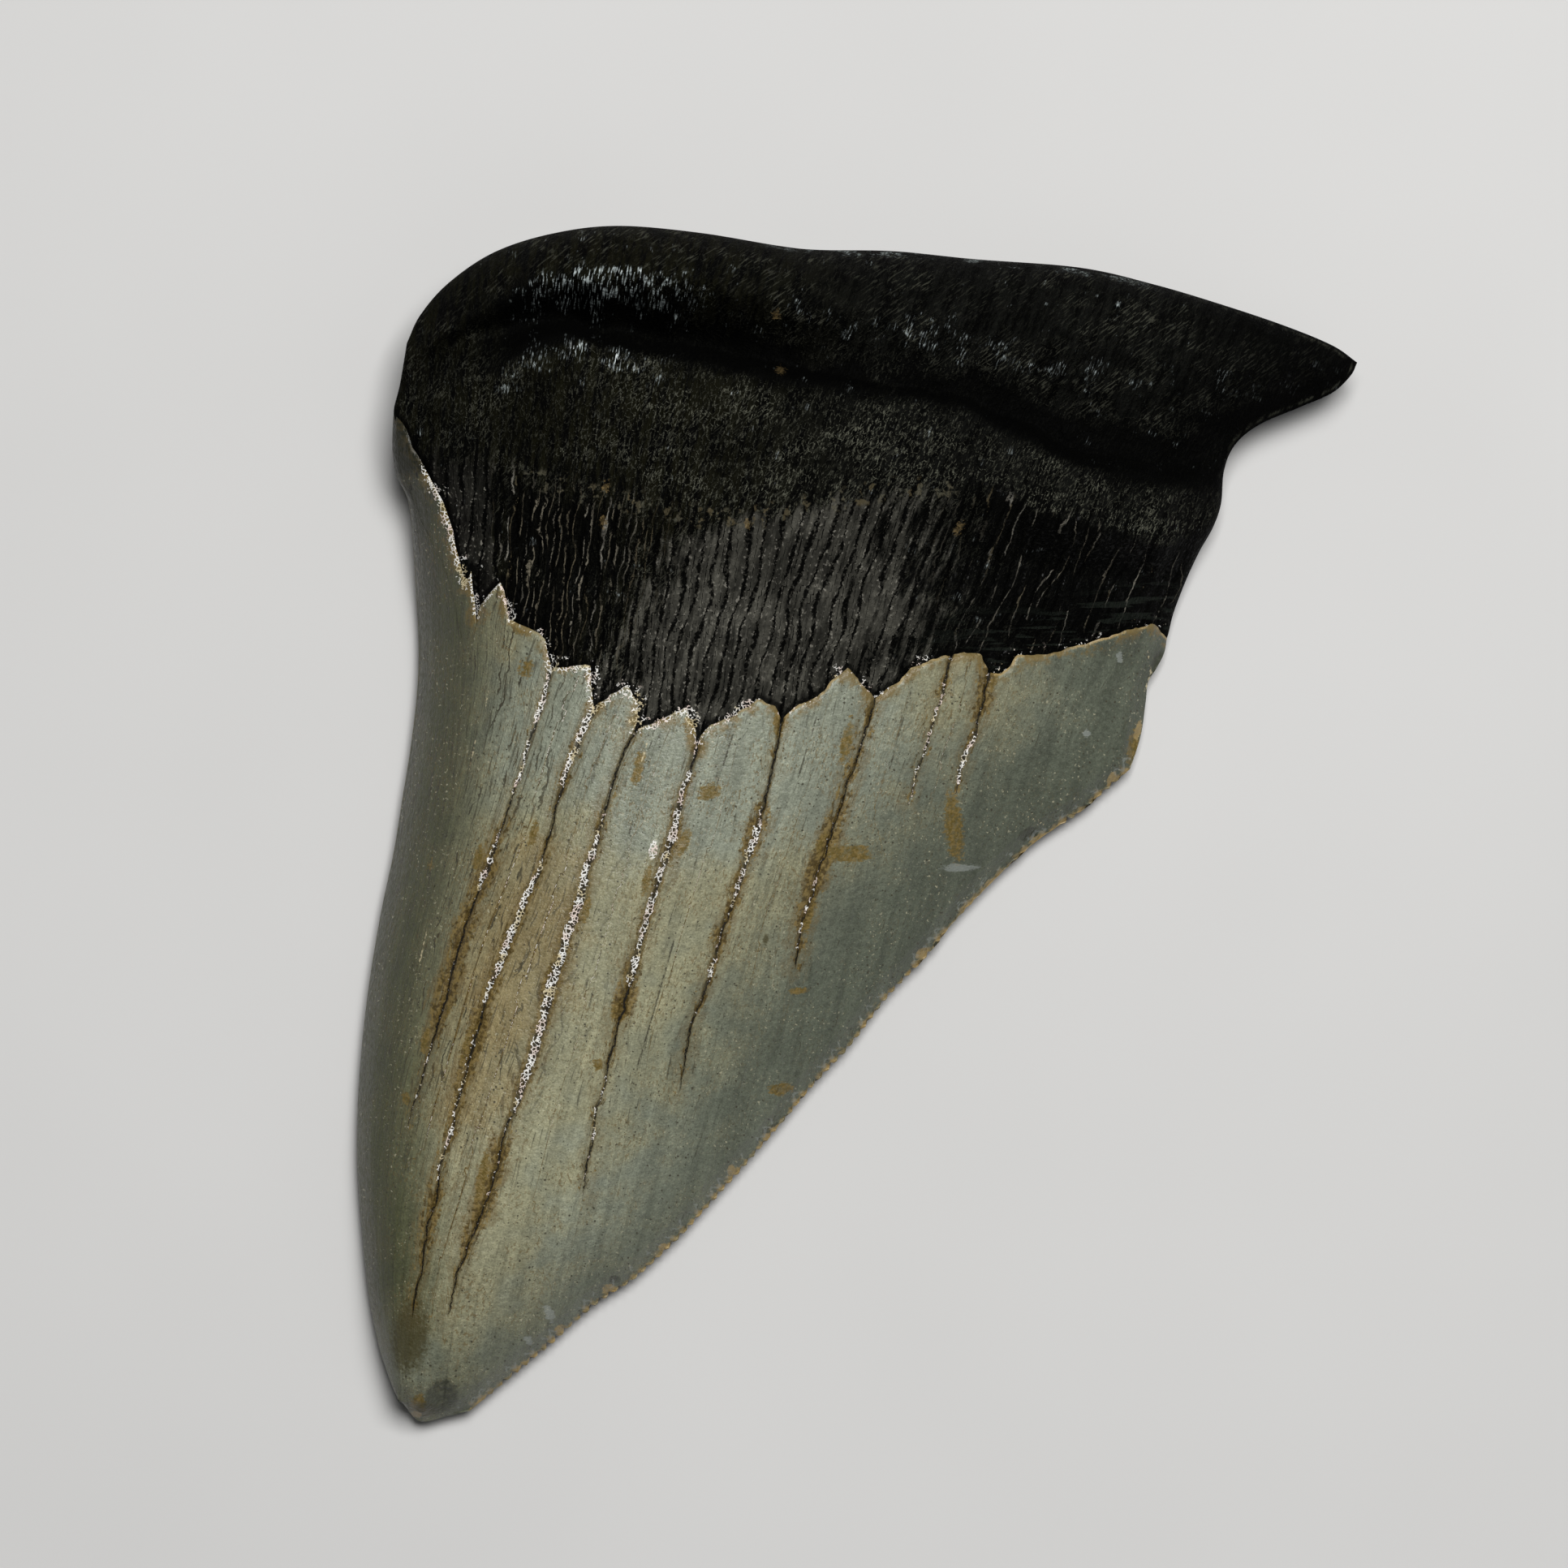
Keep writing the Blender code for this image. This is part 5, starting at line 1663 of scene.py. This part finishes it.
class EnamelFinish(Finish):
    """Worn grey-green enamel, warm where it is stained, with crusted cracks."""

    name = "worn enamel"
    cloud_size = 3.2
    base = (0.2, 0.215, 0.163)
    warm: Colour = (0.192, 0.156, 0.077)
    middle: Colour = (0.215, 0.208, 0.13)
    # Bluish grey: the enamel's tint by the cutting edge and painted shade there, and painted shade in
    # the serrations' gaps.
    slate_and_shade: Colour = (0.078, 0.088, 0.063)
    # Olive laid down the steep left side as painted shade.
    olive: Colour = (0.07, 0.075, 0.036)
    # Painted shade near the top of the left side.
    shaded: Colour = (0.026, 0.027, 0.017)
    dark_flake: Colour = (0.014, 0.0145, 0.009)
    deep: Colour = (0.006, 0.005, 0.004)
    line: Colour = (0.04, 0.036, 0.022)
    halo: Colour = (0.115, 0.078, 0.028)
    rust: Colour = (0.165, 0.115, 0.036)
    umber: Colour = (0.052, 0.033, 0.007)
    flint: Colour = (0.036, 0.038, 0.025)
    ochre: Colour = (0.1, 0.07, 0.014)
    scuff: Colour = (0.27, 0.29, 0.27)
    brown: Colour = (0.046, 0.038, 0.012)
    tan: Colour = (0.3, 0.215, 0.09)
    grit: Colour = (0.34, 0.32, 0.22)
    roughness: float = 0.42
    specular: float = 0.3
    bump: float = 0.00013

    def material(self) -> bpy.types.Material:
        """Builds the enamel's material."""
        jitter = self.place.noise(1.6, 3, 0.65)
        aside = self.read("crack")[0] + (jitter - 0.5) * 0.45
        gap = aside.size()
        self.clay()
        relief = self.grain_marks()
        self.stains(gap)
        self.blotches()
        self.rims()
        self.serrations()
        self.hairs()
        core = self.cracks(aside, gap, jitter.ramp(0.3, 0.46, 0.4, 1))
        crust = self.crusts(gap)
        dull = self.dust.ramp(0.35, 0.75, self.roughness - 0.06, self.roughness + 0.1)
        self.graph.surface({
            "Base Color": self.colour, "Roughness": dull.most(crust * 0.85, core * 0.9),
            "Specular IOR Level": self.specular,
            "Normal": self.graph.bumped(relief, self.bump)})
        return self.made

    def clay(self) -> None:
        """Mixes the enamel's colour: warm on the left and bluish grey by the cutting edge, which is
        partly its own tint and partly painted shade; paints shade down the left side and light on the
        lower crown.
        """
        warmth, right, left = self.read("tone")
        tinted = warmth + (self.cloud - 0.5) * 0.8
        self.lay(tinted.ramp(0.05, 0.5), self.middle)
        self.lay(tinted.ramp(0.5, 1), self.warm)
        uneven = (self.cloud - 0.5) * 6.0
        # Bluish grey by the cutting edge: partly the enamel's own tint, partly painted shade.
        slate_tint_and_shade = (right + uneven).ramp(16, 3) * self.y.ramp(-36, -14, 0.68, 1)
        self.lay(slate_tint_and_shade, self.slate_and_shade)
        # Painted shade down the steep left side, in olive.
        painted_side_shade = (left + uneven * 0.3).ramp(8, 2.5) * self.y.ramp(-41, -34, 0.25, 1)
        self.lay(painted_side_shade, self.olive)
        tone = (0.86 + self.cloud * 0.28) * (0.66 + self.dust * 0.68)
        # Painted light on the lower crown, and painted shade at the tip and close to the left edge.
        painted_light_and_shade = self.y.ramp(8, -22, 0.96, 1.12) * self.y.ramp(-24, -34, 1, 0.9)
        painted_light_and_shade = painted_light_and_shade * left.ramp(1, 7, 0.84, 1)
        self.shade(tone * painted_light_and_shade * (0.6 + self.sand * 0.8))
        # Painted shade near the top of the left side.
        shaded = (left + (self.dust - 0.5) * 1.5).ramp(3.4, 0.6) * self.y.ramp(12, 24)
        self.lay(shaded * 0.9, self.shaded)

    def grain_marks(self) -> Signal:
        """Draws the streaks, lines, ticks, grit and pits that run down the crown.

        Returns:
            Their relief.
        """
        _, right, left = self.read("tone")
        inner = right.ramp(4, 13, 0.25, 1)
        lined = left.ramp(19, 7, 0.3, 1) * inner
        streak = self.grain.stretched(1.4, 0.07).noise(1, 3, 0.6)
        self.shade(streak.ramp(0.3, 0.7, 0.84, 1.12))
        fine = self.grain.stretched(7.5, 0.3, (5, 3, 0)).noise(1, 2, 0.65)
        level = 0.72 - lined * 0.13
        drawn = fine.ramp(level, level + 0.05) * self.y.ramp(-32, -20, 0.35, 1)
        self.lay(drawn * 0.65, self.line)
        lines, _ = self.lines(0.8, 0.075, 0.5)
        self.lay(lines * self.y.ramp(-26, -17) * lined * 0.95, self.line)
        ticks, _ = self.strokes(0.11, 0.38, 0.36)
        self.lay(ticks * self.cloud.ramp(0.4, 0.6) * inner * 0.6, self.halo)
        flecks = self.place.noise(3.6, 2, 0.6)
        grit = flecks.ramp(0.67, 0.73) * self.cloud.ramp(0.4, 0.6, 0.2, 1)
        self.lay(grit * 0.8, self.grit)
        pits, = self.effects.specks.place(
            self.graph, Place=self.place, Spacing=0.62, Size=0.1, Share=0.5)
        clusters = self.place.noise(0.5, 2, 0.6).ramp(0.5, 0.6, 0.12, 1)
        self.lay((pits * clusters).most(flecks.ramp(0.3, 0.25)) * 0.9, self.line)
        return fine * 0.3 + self.dust * 0.5 + self.sand * 0.25

    def stains(self, gap: Signal) -> None:
        """Stains the enamel brown and rust beside the cracks.

        Args:
            gap: How far each place is from the nearest crack.
        """
        stain = self.graph.attribute("stain")
        spread = self.grain.stretched(1.5, 0.45).noise(1, 4, 0.7)
        near = (gap + (spread - 0.5) * 3.4 - stain * 0.5).ramp(1, 0.1)
        halo = near * (0.2 + stain * 0.6) * self.jag.ramp(0.3, 0.6, 0.25, 1.1)
        self.lay(halo * 0.8, self.halo)
        patches = self.grain.stretched(1.8, 0.6, (9, 4, 0)).noise(1, 4, 0.7)
        reach = 0.35 + stain * 0.6
        rusty = self.ragged(gap, 1.6).ramp(reach, reach * 0.65)
        rusty = rusty * (patches + stain * 0.3).ramp(0.64, 0.69)
        tint = self.graph.mixed(self.dust.ramp(0.38, 0.6), self.umber, self.rust)
        self.lay(rusty * 0.9, tint)

    def blotches(self) -> None:
        """Lays the ochre, pale and brown marks and the dark chips."""
        ochre, pale, brown = self.read("marks")
        brushed = self.place.stretched(0.9, 3.5).noise(1, 3, 0.7) - 0.5
        ochre = self.ragged(ochre + brushed * 1.1, 1.1).ramp(-0.05, 0.3)
        tint = self.graph.mixed(self.jag.ramp(0.42, 0.62), self.ochre, self.rust)
        self.lay(ochre * self.dust.ramp(0.3, 0.6, 0.6, 1), tint)
        self.lay((pale + brushed * 1.6).ramp(0, 0.3) * 0.5, self.scuff)
        self.lay(self.ragged(brown, 0.9).ramp(0, 0.5) * 0.8, self.brown)
        chip = self.ragged(self.read("rim")[1], 0.5).ramp(0, 0.25)
        self.lay(chip * self.dust.ramp(0.4, 0.7, 0.85, 0.5), self.flint)

    def rims(self) -> None:
        """Lines the enamel's border with brown and tan."""
        border_gap, tan_rim = self.read("rim")[0], self.read("edging")[1]
        patches = self.place.noise(0.75, 3, 0.6)
        stained = self.ragged(border_gap, 1.4).ramp(1.1, 0.2) * patches.ramp(0.42, 0.56)
        self.lay(stained * 0.85, self.graph.mixed(patches, self.halo, self.rust))
        edge = self.ragged(border_gap, 0.3).ramp(0.24, 0.1) * tan_rim
        self.lay(edge * patches.ramp(0.56, 0.42), self.tan)

    def serrations(self) -> None:
        """Tips the serrations and the beads with tan, and paints shade into the gaps between them."""
        saw_gap = self.read("edging")[2]
        swell = self.graph.attribute("saw_tooth")
        patches = self.place.noise(0.8, 2, 0.6).ramp(0.35, 0.62)
        reach = 0.12 + swell * (0.12 + patches * 0.5)
        tip = self.ragged(saw_gap, 0.5).ramp(reach, 0.05)
        self.lay(tip * (0.4 + patches * 0.5), self.tan)
        bead = self.ragged(self.graph.attribute("bead"), 0.9).ramp(0, 0.25)
        self.lay(bead * 0.75, self.tan)
        # Painted shade in the gaps between the serrations.
        notch = swell.ramp(0.45, 0.1) * saw_gap.ramp(1, 0.5)
        self.lay(notch * 0.35, self.slate_and_shade)
        foot = saw_gap + swell * 0.6
        curl = self.ragged(foot, 0.5).ramp(0.7, 0.85) * foot.ramp(1.1, 0.9)
        self.lay(curl * patches.ramp(0.6, 0.9) * 0.4, self.scuff)

    def hairs(self) -> None:
        """Darkens the loose flake and draws the fine dark and pale cracks."""
        dark, pale, broken = (self.ragged(gap, 0.16) for gap in self.read("hair"))
        flake = self.ragged(self.y, 0.8).ramp(26, 26.9)
        self.lay(flake * self.dust.ramp(0.3, 0.7, 1, 0.8), self.dark_flake)
        self.lay(dark.ramp(0.09, 0.03) * self.dust.ramp(0.35, 0.5) * 0.85, self.line)
        self.lay(pale.ramp(0.1, 0.04) * self.dust.ramp(0.42, 0.55) * 0.8, CRUST_CREAM)
        self.lay(broken.ramp(0.2, 0.1), self.deep)

    def cracks(self, aside: Signal, gap: Signal, patchy: Signal) -> Signal:
        """Fills the cracks with brown, and darkens their middles and their holes.

        Args:
            aside: How far right of the nearest crack each place is.
            gap: How far from it each place is.
            patchy: How dark the middles are, place by place.

        Returns:
            The dark middles.
        """
        _, half, crusted = self.read("crack")
        opened = half.ramp(0.01, 0.07)
        filled = half * 1.25 + 0.07
        seam = self.ragged(gap, 0.6).ramp(filled, filled * 0.75) * opened
        seam = seam * (0.3 + self.graph.attribute("stain") * 0.7)
        fill = self.graph.mixed(self.jag.ramp(0.38, 0.62), self.umber, self.rust)
        self.lay(seam * 0.85, fill)
        wide = half * (self.jag * 0.75 - 0.08) + 0.035
        core = (aside - half * 0.35).size().ramp(wide, wide * 0.5) * opened * patchy
        self.lay(core * (1.0 - crusted * 0.4), self.deep)
        holes = gap.ramp(half * 0.7, half * 0.35) * crusted * opened
        self.lay(holes * 0.75, self.deep)
        return core

    def crusts(self, gap: Signal) -> Signal:
        """Lays the pale crust in the cracks and along the enamel's border.

        Args:
            gap: How far each place is from the nearest crack.

        Returns:
            The crust's mask.
        """
        _, half, crusted = self.read("crack")
        border_gap, _, loose = self.read("rim")
        white_rim = self.read("edging")[0]
        width = half * 0.64 + 0.045
        clumps = self.place.noise(0.9).ramp(0.36, 0.58, 0.4, 1.25)
        amount = crusted * clumps * gap.ramp(width * 1.12, width * 0.5)
        lace = self.ragged(border_gap, 0.7).ramp(0.2 + white_rim * 0.6, 0.08) * white_rim
        return self.encrust(amount.most(loose.ramp(0, 0.4), lace), 0.32)


class BoneFinish(Finish):
    """Near-black fossil bone: rough and flecked above, smooth and split over the enamel."""

    name = "fossil bone"
    cloud_size = 2.4
    base = (0.0006, 0.0006, 0.0005)
    olive: Colour = (0.0045, 0.0043, 0.0018)
    grey: Colour = (0.0034, 0.0035, 0.0029)
    # Pale grey of the flecks; in the rough bone's strokes it stands partly for painted glints.
    flecks: Colour = (0.078, 0.079, 0.059)
    smooth: Colour = (0.04, 0.0385, 0.0315)
    # The colour of the painted glints.
    painted_glint: Colour = (0.46, 0.52, 0.51)
    green: Colour = (0.011, 0.0135, 0.0105)
    pale: Colour = (0.2, 0.19, 0.16)
    tan: Colour = (0.085, 0.068, 0.036)
    ochre: Colour = (0.135, 0.095, 0.04)
    roughness: float = 0.8
    specular: float = 0.03
    coat_roughness: float = 0.3
    bump: float = 0.0002

    def material(self) -> bpy.types.Material:
        """Builds the bone's material."""
        groove, smooth, glossy = self.read("zone")
        fluted = self.read("bone")[0]
        # Black for the fluted bone's own colour, painted shade in the groove, and both on the glossy
        # band.
        dark = (groove * 0.96).most(glossy * 0.95, fluted * fluted * 0.88)
        streak = self.grain.stretched(1.6, 0.3).noise(1, 3, 0.65)
        brown = self.graph.mixed(self.x.ramp(-14, 4), self.olive, self.grey)
        self.lay(streak.ramp(0.38, 0.62), brown)
        self.lay(dark, self.base)
        relief = self.flecked(dark)
        painted_glint = self.painted_glints()
        sheet = self.worn(streak)
        number = self.ribs()
        self.splits(sheet)
        self.spots(number)
        self.edges(streak)
        self.border()
        dull = self.dust.ramp(0.3, 0.7, self.roughness - 0.08, self.roughness + 0.12)
        shine = (painted_glint * 0.5).most(glossy * self.dust.ramp(0.5, 0.7) * 0.12)
        self.graph.surface({
            "Base Color": self.colour, "Roughness": dull, "Specular IOR Level": self.specular,
            "Coat Weight": shine, "Coat Roughness": self.coat_roughness,
            "Normal": self.graph.bumped(relief * (1.0 - smooth * 0.85), self.bump)})
        return self.made

    def flecked(self, dark: Signal) -> Signal:
        """Draws the rough bone's short pale strokes, which are partly painted glints, and pebbled
        grain.

        Args:
            dark: Where the bone is painted black, for its own colour or as painted shade.

        Returns:
            Their relief.
        """
        rough = self.read("bone")[1]
        strokes, height = self.strokes(0.17, 0.55, 0.36)
        ridges = self.grain.stretched(3, 1.7).cell_borders(1).ramp(0.11, 0.02)
        ridges = ridges * self.dust.ramp(0.44, 0.58)
        # The pale strokes are partly fibres and partly painted glints.
        lit = (strokes * 0.8).most(ridges) * self.sand.ramp(0.4, 0.62, 0.25, 1.3)
        broad = self.place.stretched(0.16, 0.22).noise(1, 2, 0.6)
        patchy = self.cloud.ramp(0.34, 0.62, 0.5, 1) * broad.ramp(0.38, 0.62, 0.45, 1.15)
        patchy = patchy * self.x.ramp(-26, -12, 0.6, 1)
        lit = lit * patchy * (0.14 + rough.most(dark) * 0.86) * (1.0 - dark)
        self.lay(lit, self.flecks)
        across, run, turn = self.grain.parts()
        leaning = self.graph.joined(across * 0.75 - run * 0.65, run * 0.75 + across * 0.65, turn)
        slanted, _ = self.strokes(0.16, 0.75, 0.36, leaning)
        slanted = slanted * self.cloud.ramp(0.42, 0.6, 0.08, 1) * (1.0 - dark)
        slanted = slanted * broad.ramp(0.4, 0.6, 0.3, 1)
        self.lay(slanted * (0.4 - rough * 0.1), self.flecks)
        return height * 0.7 + ridges * 0.5 + self.dust * 0.3

    def painted_glints(self) -> Signal:
        """Draws painted bluish glints on the ridge's wall and on the shelf's lip.

        Returns:
            Their mask.
        """
        where = self.read("bone")[2].most(self.graph.attribute("lip") * 0.72)
        glints, _ = self.strokes(0.12, 0.8, 0.42)
        patchy = self.place.noise(0.6, 3, 0.7)
        glints = glints * (where + (patchy - 0.5) * 2.4).ramp(0.35, 1)
        glints = glints * self.dust.ramp(0.35, 0.65, 0.25, 1)
        # Painted glints.
        self.lay(glints * 0.8, self.painted_glint)
        return glints

    def worn(self, streak: Signal) -> Signal:
        """Lays the worn grey sheets of the bare band, darker in the fan at the left end.

        Args:
            streak: The streaks along the grain.

        Returns:
            Where the sheets are.
        """
        smooth = self.read("zone")[1]
        tone = self.cloud.ramp(0.3, 0.7, 0.55, 1.25) * (0.3 + self.dust * 1.4)
        fan = self.x.ramp(-23, -26)
        tone = tone * streak.ramp(0.35, 0.6, 0.5, 1.2) * (1.0 - fan * 0.62)
        sheet = self.ragged(smooth + (streak - 0.5) * 1.3, 0.5).ramp(0.3, 0.7)
        self.lay(sheet * self.sand.ramp(0.3, 0.5, 0.75, 1), self.graph.scaled(self.smooth, tone))
        return sheet

    def ribs(self) -> Signal:
        """Draws the pale ribs of the fluted bone, and sparse ones on the glossy bone.

        Returns:
            Each rib's random number.
        """
        fluted, glossy = self.read("bone")[0], self.read("zone")[2]
        close, number = self.lines(0.52, 0.07, 0.85)
        sparse, _ = self.lines(1.15, 0.08, 0.75)
        fading = self.grain.stretched(0.9, 0.5).noise(1, 2, 0.6)
        ribs = (close * fluted).most(sparse * glossy * 0.7) * self.jag.ramp(0.3, 0.5, 0.4, 1)
        ribs = ribs * fading.ramp(0.35, 0.6, 0.3, 1)
        self.lay(ribs * 0.85, self.graph.mixed(number, self.pale, self.tan))
        return number

    def splits(self, sheet: Signal) -> None:
        """Opens the dark splits, with pale grains and painted highlights on their shores.

        Args:
            sheet: Where the worn sheets are.
        """
        split, strength, _ = self.read("split")
        reach = self.ragged(split, 0.5).size()
        width = self.place.noise(0.55).ramp(0.35, 0.65, 0.09, 0.27)
        opened = reach.ramp(width, width * 0.5) * strength.ramp(0.1, 0.5)
        opened = opened * self.dust.ramp(0.34, 0.44)
        self.lay(opened * 0.97, self.base)
        # Pale grains and painted highlights along the splits' shores.
        pale_and_lit_shore = reach.ramp(0.34, 0.2) * (1.0 - opened) * sheet
        self.lay(pale_and_lit_shore * self.dust.ramp(0.56, 0.66) * strength * 0.6, self.pale)

    def spots(self, number: Signal) -> None:
        """Lays the pebbles along the shelf and the ochre spots.

        Args:
            number: A random number that picks the pebbles' colour.
        """
        ochre, _, pebbled = self.read("marks")
        lumps = self.place.noise(1.4, 2, 0.6).ramp(0.56, 0.66)
        lumps = lumps * self.ragged(pebbled, 0.6).ramp(0.35, 0.8)
        self.lay(lumps * 0.55, self.graph.mixed(number, self.tan, self.flecks))
        dots = self.ragged(ochre, 3).ramp(0, 0.5)
        self.lay(dots * self.dust.ramp(0.35, 0.65, 0.25, 0.8), self.ochre)

    def edges(self, streak: Signal) -> None:
        """Draws the green streaks by the enamel, painted glints along the ridge's edge and the black
        spur.

        Args:
            streak: The streaks along the grain.
        """
        border_gap, from_edge = self.read("split")[2], self.read("marks")[1]
        level = self.place.stretched(0.22, 1.9).noise(1, 2, 0.6)
        drawn = level.ramp(0.53, 0.6) * border_gap.ramp(4, 2) * self.read("zone")[2]
        self.lay(drawn * 0.7, self.green)
        window = self.x.ramp(-8, -3) * self.x.ramp(24, 16)
        # Painted glints along the ridge's edge.
        ridge_glints = self.ragged(from_edge, 1.5).ramp(0.75, 0.1) * window
        ridge_glints = ridge_glints * from_edge.ramp(0.02, 0.25) * self.cloud.ramp(0.48, 0.6)
        self.lay(ridge_glints * self.dust.ramp(0.42, 0.56) * 0.5, self.painted_glint)
        spur = self.x.ramp(22, 32)
        self.lay(spur * 0.8, self.base)
        thin_rim = self.ragged(from_edge, 0.5).ramp(0.5, 0.15) * from_edge.ramp(0.12, 0.3)
        self.lay(thin_rim * spur * streak.ramp(0.4, 0.6) * 0.35, self.flecks)

    def border(self) -> None:
        """Paints shadow on the bone right beside the enamel, and laces it with crust."""
        border_gap = self.read("split")[2]
        # Painted shadow along the enamel's border.
        self.lay(self.ragged(border_gap, 0.4).ramp(0.55, 0.2) * 0.85, self.base)
        lace = self.ragged(border_gap, 0.9).ramp(1.1, 0.1) * self.y.ramp(27.4, 26.2)
        lace = lace * self.x.ramp(-24, -28, 0.6, 1) * self.x.ramp(1, 8, 1, 0.4)
        self.encrust(lace * self.cloud.ramp(0.46, 0.6), 0.3, 0.8)


@dataclass(frozen=True)
class FloorFinish:
    """The pale plain floor."""

    effects: Effects
    light: Colour = (0.54, 0.535, 0.525)
    dark: Colour = (0.5, 0.495, 0.485)
    cloud_size: float = 40
    roughness: float = 0.85
    specular: float = 0.2

    def material(self) -> bpy.types.Material:
        """Builds the floor's material."""
        material, graph = new_material("pale floor")
        cloud, _, _ = self.effects.mottle.place(
            graph, Place=graph.millimetres(), Size=self.cloud_size)
        graph.surface({"Base Color": graph.mixed(cloud, self.light, self.dark),
                       "Roughness": self.roughness, "Specular IOR Level": self.specular})
        return material


@dataclass
class Studio:
    """The floor, the lights and the camera over the tooth."""

    floor_half: float = 1.5
    floor_level: float = -0.0002
    camera_place: tuple[float, float] = (-0.00544, 0.00318)
    camera_height: float = 0.604
    focus_height: float = 0.004
    frame_width: float = 0.1181
    sensor: float = 36
    clip: tuple[float, float] = (0.01, 10)
    key_place: tuple[float, float, float] = (0.08, 0.2, 0.64)
    key_size: float = 0.28
    key_power: float = 6
    fill_place: tuple[float, float, float] = (0.4, -0.3, 0.5)
    fill_size: float = 0.5
    fill_power: float = 0.3
    sky: Colour = (0.9, 0.95, 1)
    sky_strength: float = 0.05

    def build_floor(self, finish: FloorFinish) -> bpy.types.Object:
        """Lays the floor under the tooth."""
        half = self.floor_half
        corners = [(-half, -half, 0), (half, -half, 0), (half, half, 0), (-half, half, 0)]
        mesh = bpy.data.meshes.new("floor")
        mesh.from_pydata(corners, [], [(0, 1, 2, 3)])
        mesh.materials.append(finish.material())
        floor = new_object("floor", mesh)
        floor.location.z = self.floor_level
        return floor

    def build_light(self, name: str, place: Sequence[float], size: float, power: float) -> None:
        """Hangs one square soft light that looks at the tooth.

        Args:
            name: The light's name.
            place: Where it hangs.
            size: Its side.
            power: Its power in watts.
        """
        light = bpy.data.lights.new(name, "AREA")
        light.shape, light.size, light.energy = "SQUARE", size, power
        lamp = new_object(name, light)
        lamp.location = place
        lamp.rotation_euler = (-Vector(place)).to_track_quat("-Z", "Y").to_euler()

    def build_lights(self) -> None:
        """Hangs the key and the fill, and sets the faint light all round."""
        self.build_light("key", self.key_place, self.key_size, self.key_power)
        self.build_light("fill", self.fill_place, self.fill_size, self.fill_power)
        world = bpy.data.worlds.new("studio")
        world.use_nodes = True
        background = world.node_tree.nodes["Background"]
        background.inputs["Color"].default_value = (*self.sky, 1)
        background.inputs["Strength"].default_value = self.sky_strength
        bpy.context.scene.world = world

    def build_camera(self) -> bpy.types.Object:
        """Points the camera straight down, with the root at the top of the picture."""
        data = bpy.data.cameras.new("camera")
        data.sensor_width = self.sensor
        distance = self.camera_height - self.focus_height
        data.lens = self.sensor * distance / self.frame_width
        data.clip_start, data.clip_end = self.clip
        camera = new_object("camera", data)
        camera.matrix_world = Matrix.Translation((*self.camera_place, self.camera_height))
        bpy.context.scene.camera = camera
        return camera


def dress(piece: bpy.types.Object, material: bpy.types.Material) -> None:
    """Gives a piece its finish and its place in the frame.

    Args:
        piece: The piece.
        material: What it is made of.
    """
    piece.data.materials.append(material)
    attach(piece, "root")
    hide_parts("tooth")
    LOG.info("%s: %d faces", piece.name, len(piece.data.polygons))


def main() -> None:
    """Builds the tooth and its studio."""
    logging.basicConfig(level=logging.INFO, format="%(message)s")
    bpy.context.scene.view_settings.view_transform = "Standard"
    effects = Effects(Strokes(), LongLines(), Crust(), Specks(), Mottle())
    outline = Outline()
    relief = Relief(outline)
    crown = Crown(outline, relief)
    dress(crown.build(), EnamelFinish(effects).material())
    root = Root(outline, relief, crown)
    dress(root.build(), BoneFinish(effects).material())
    studio = Studio()
    floor = studio.build_floor(FloorFinish(effects))
    LOG.info("%s: laid", floor.name)
    studio.build_lights()
    camera = studio.build_camera()
    LOG.info("%s: lens %.0f mm", camera.name, camera.data.lens)


if __name__ == "__main__":
    main()
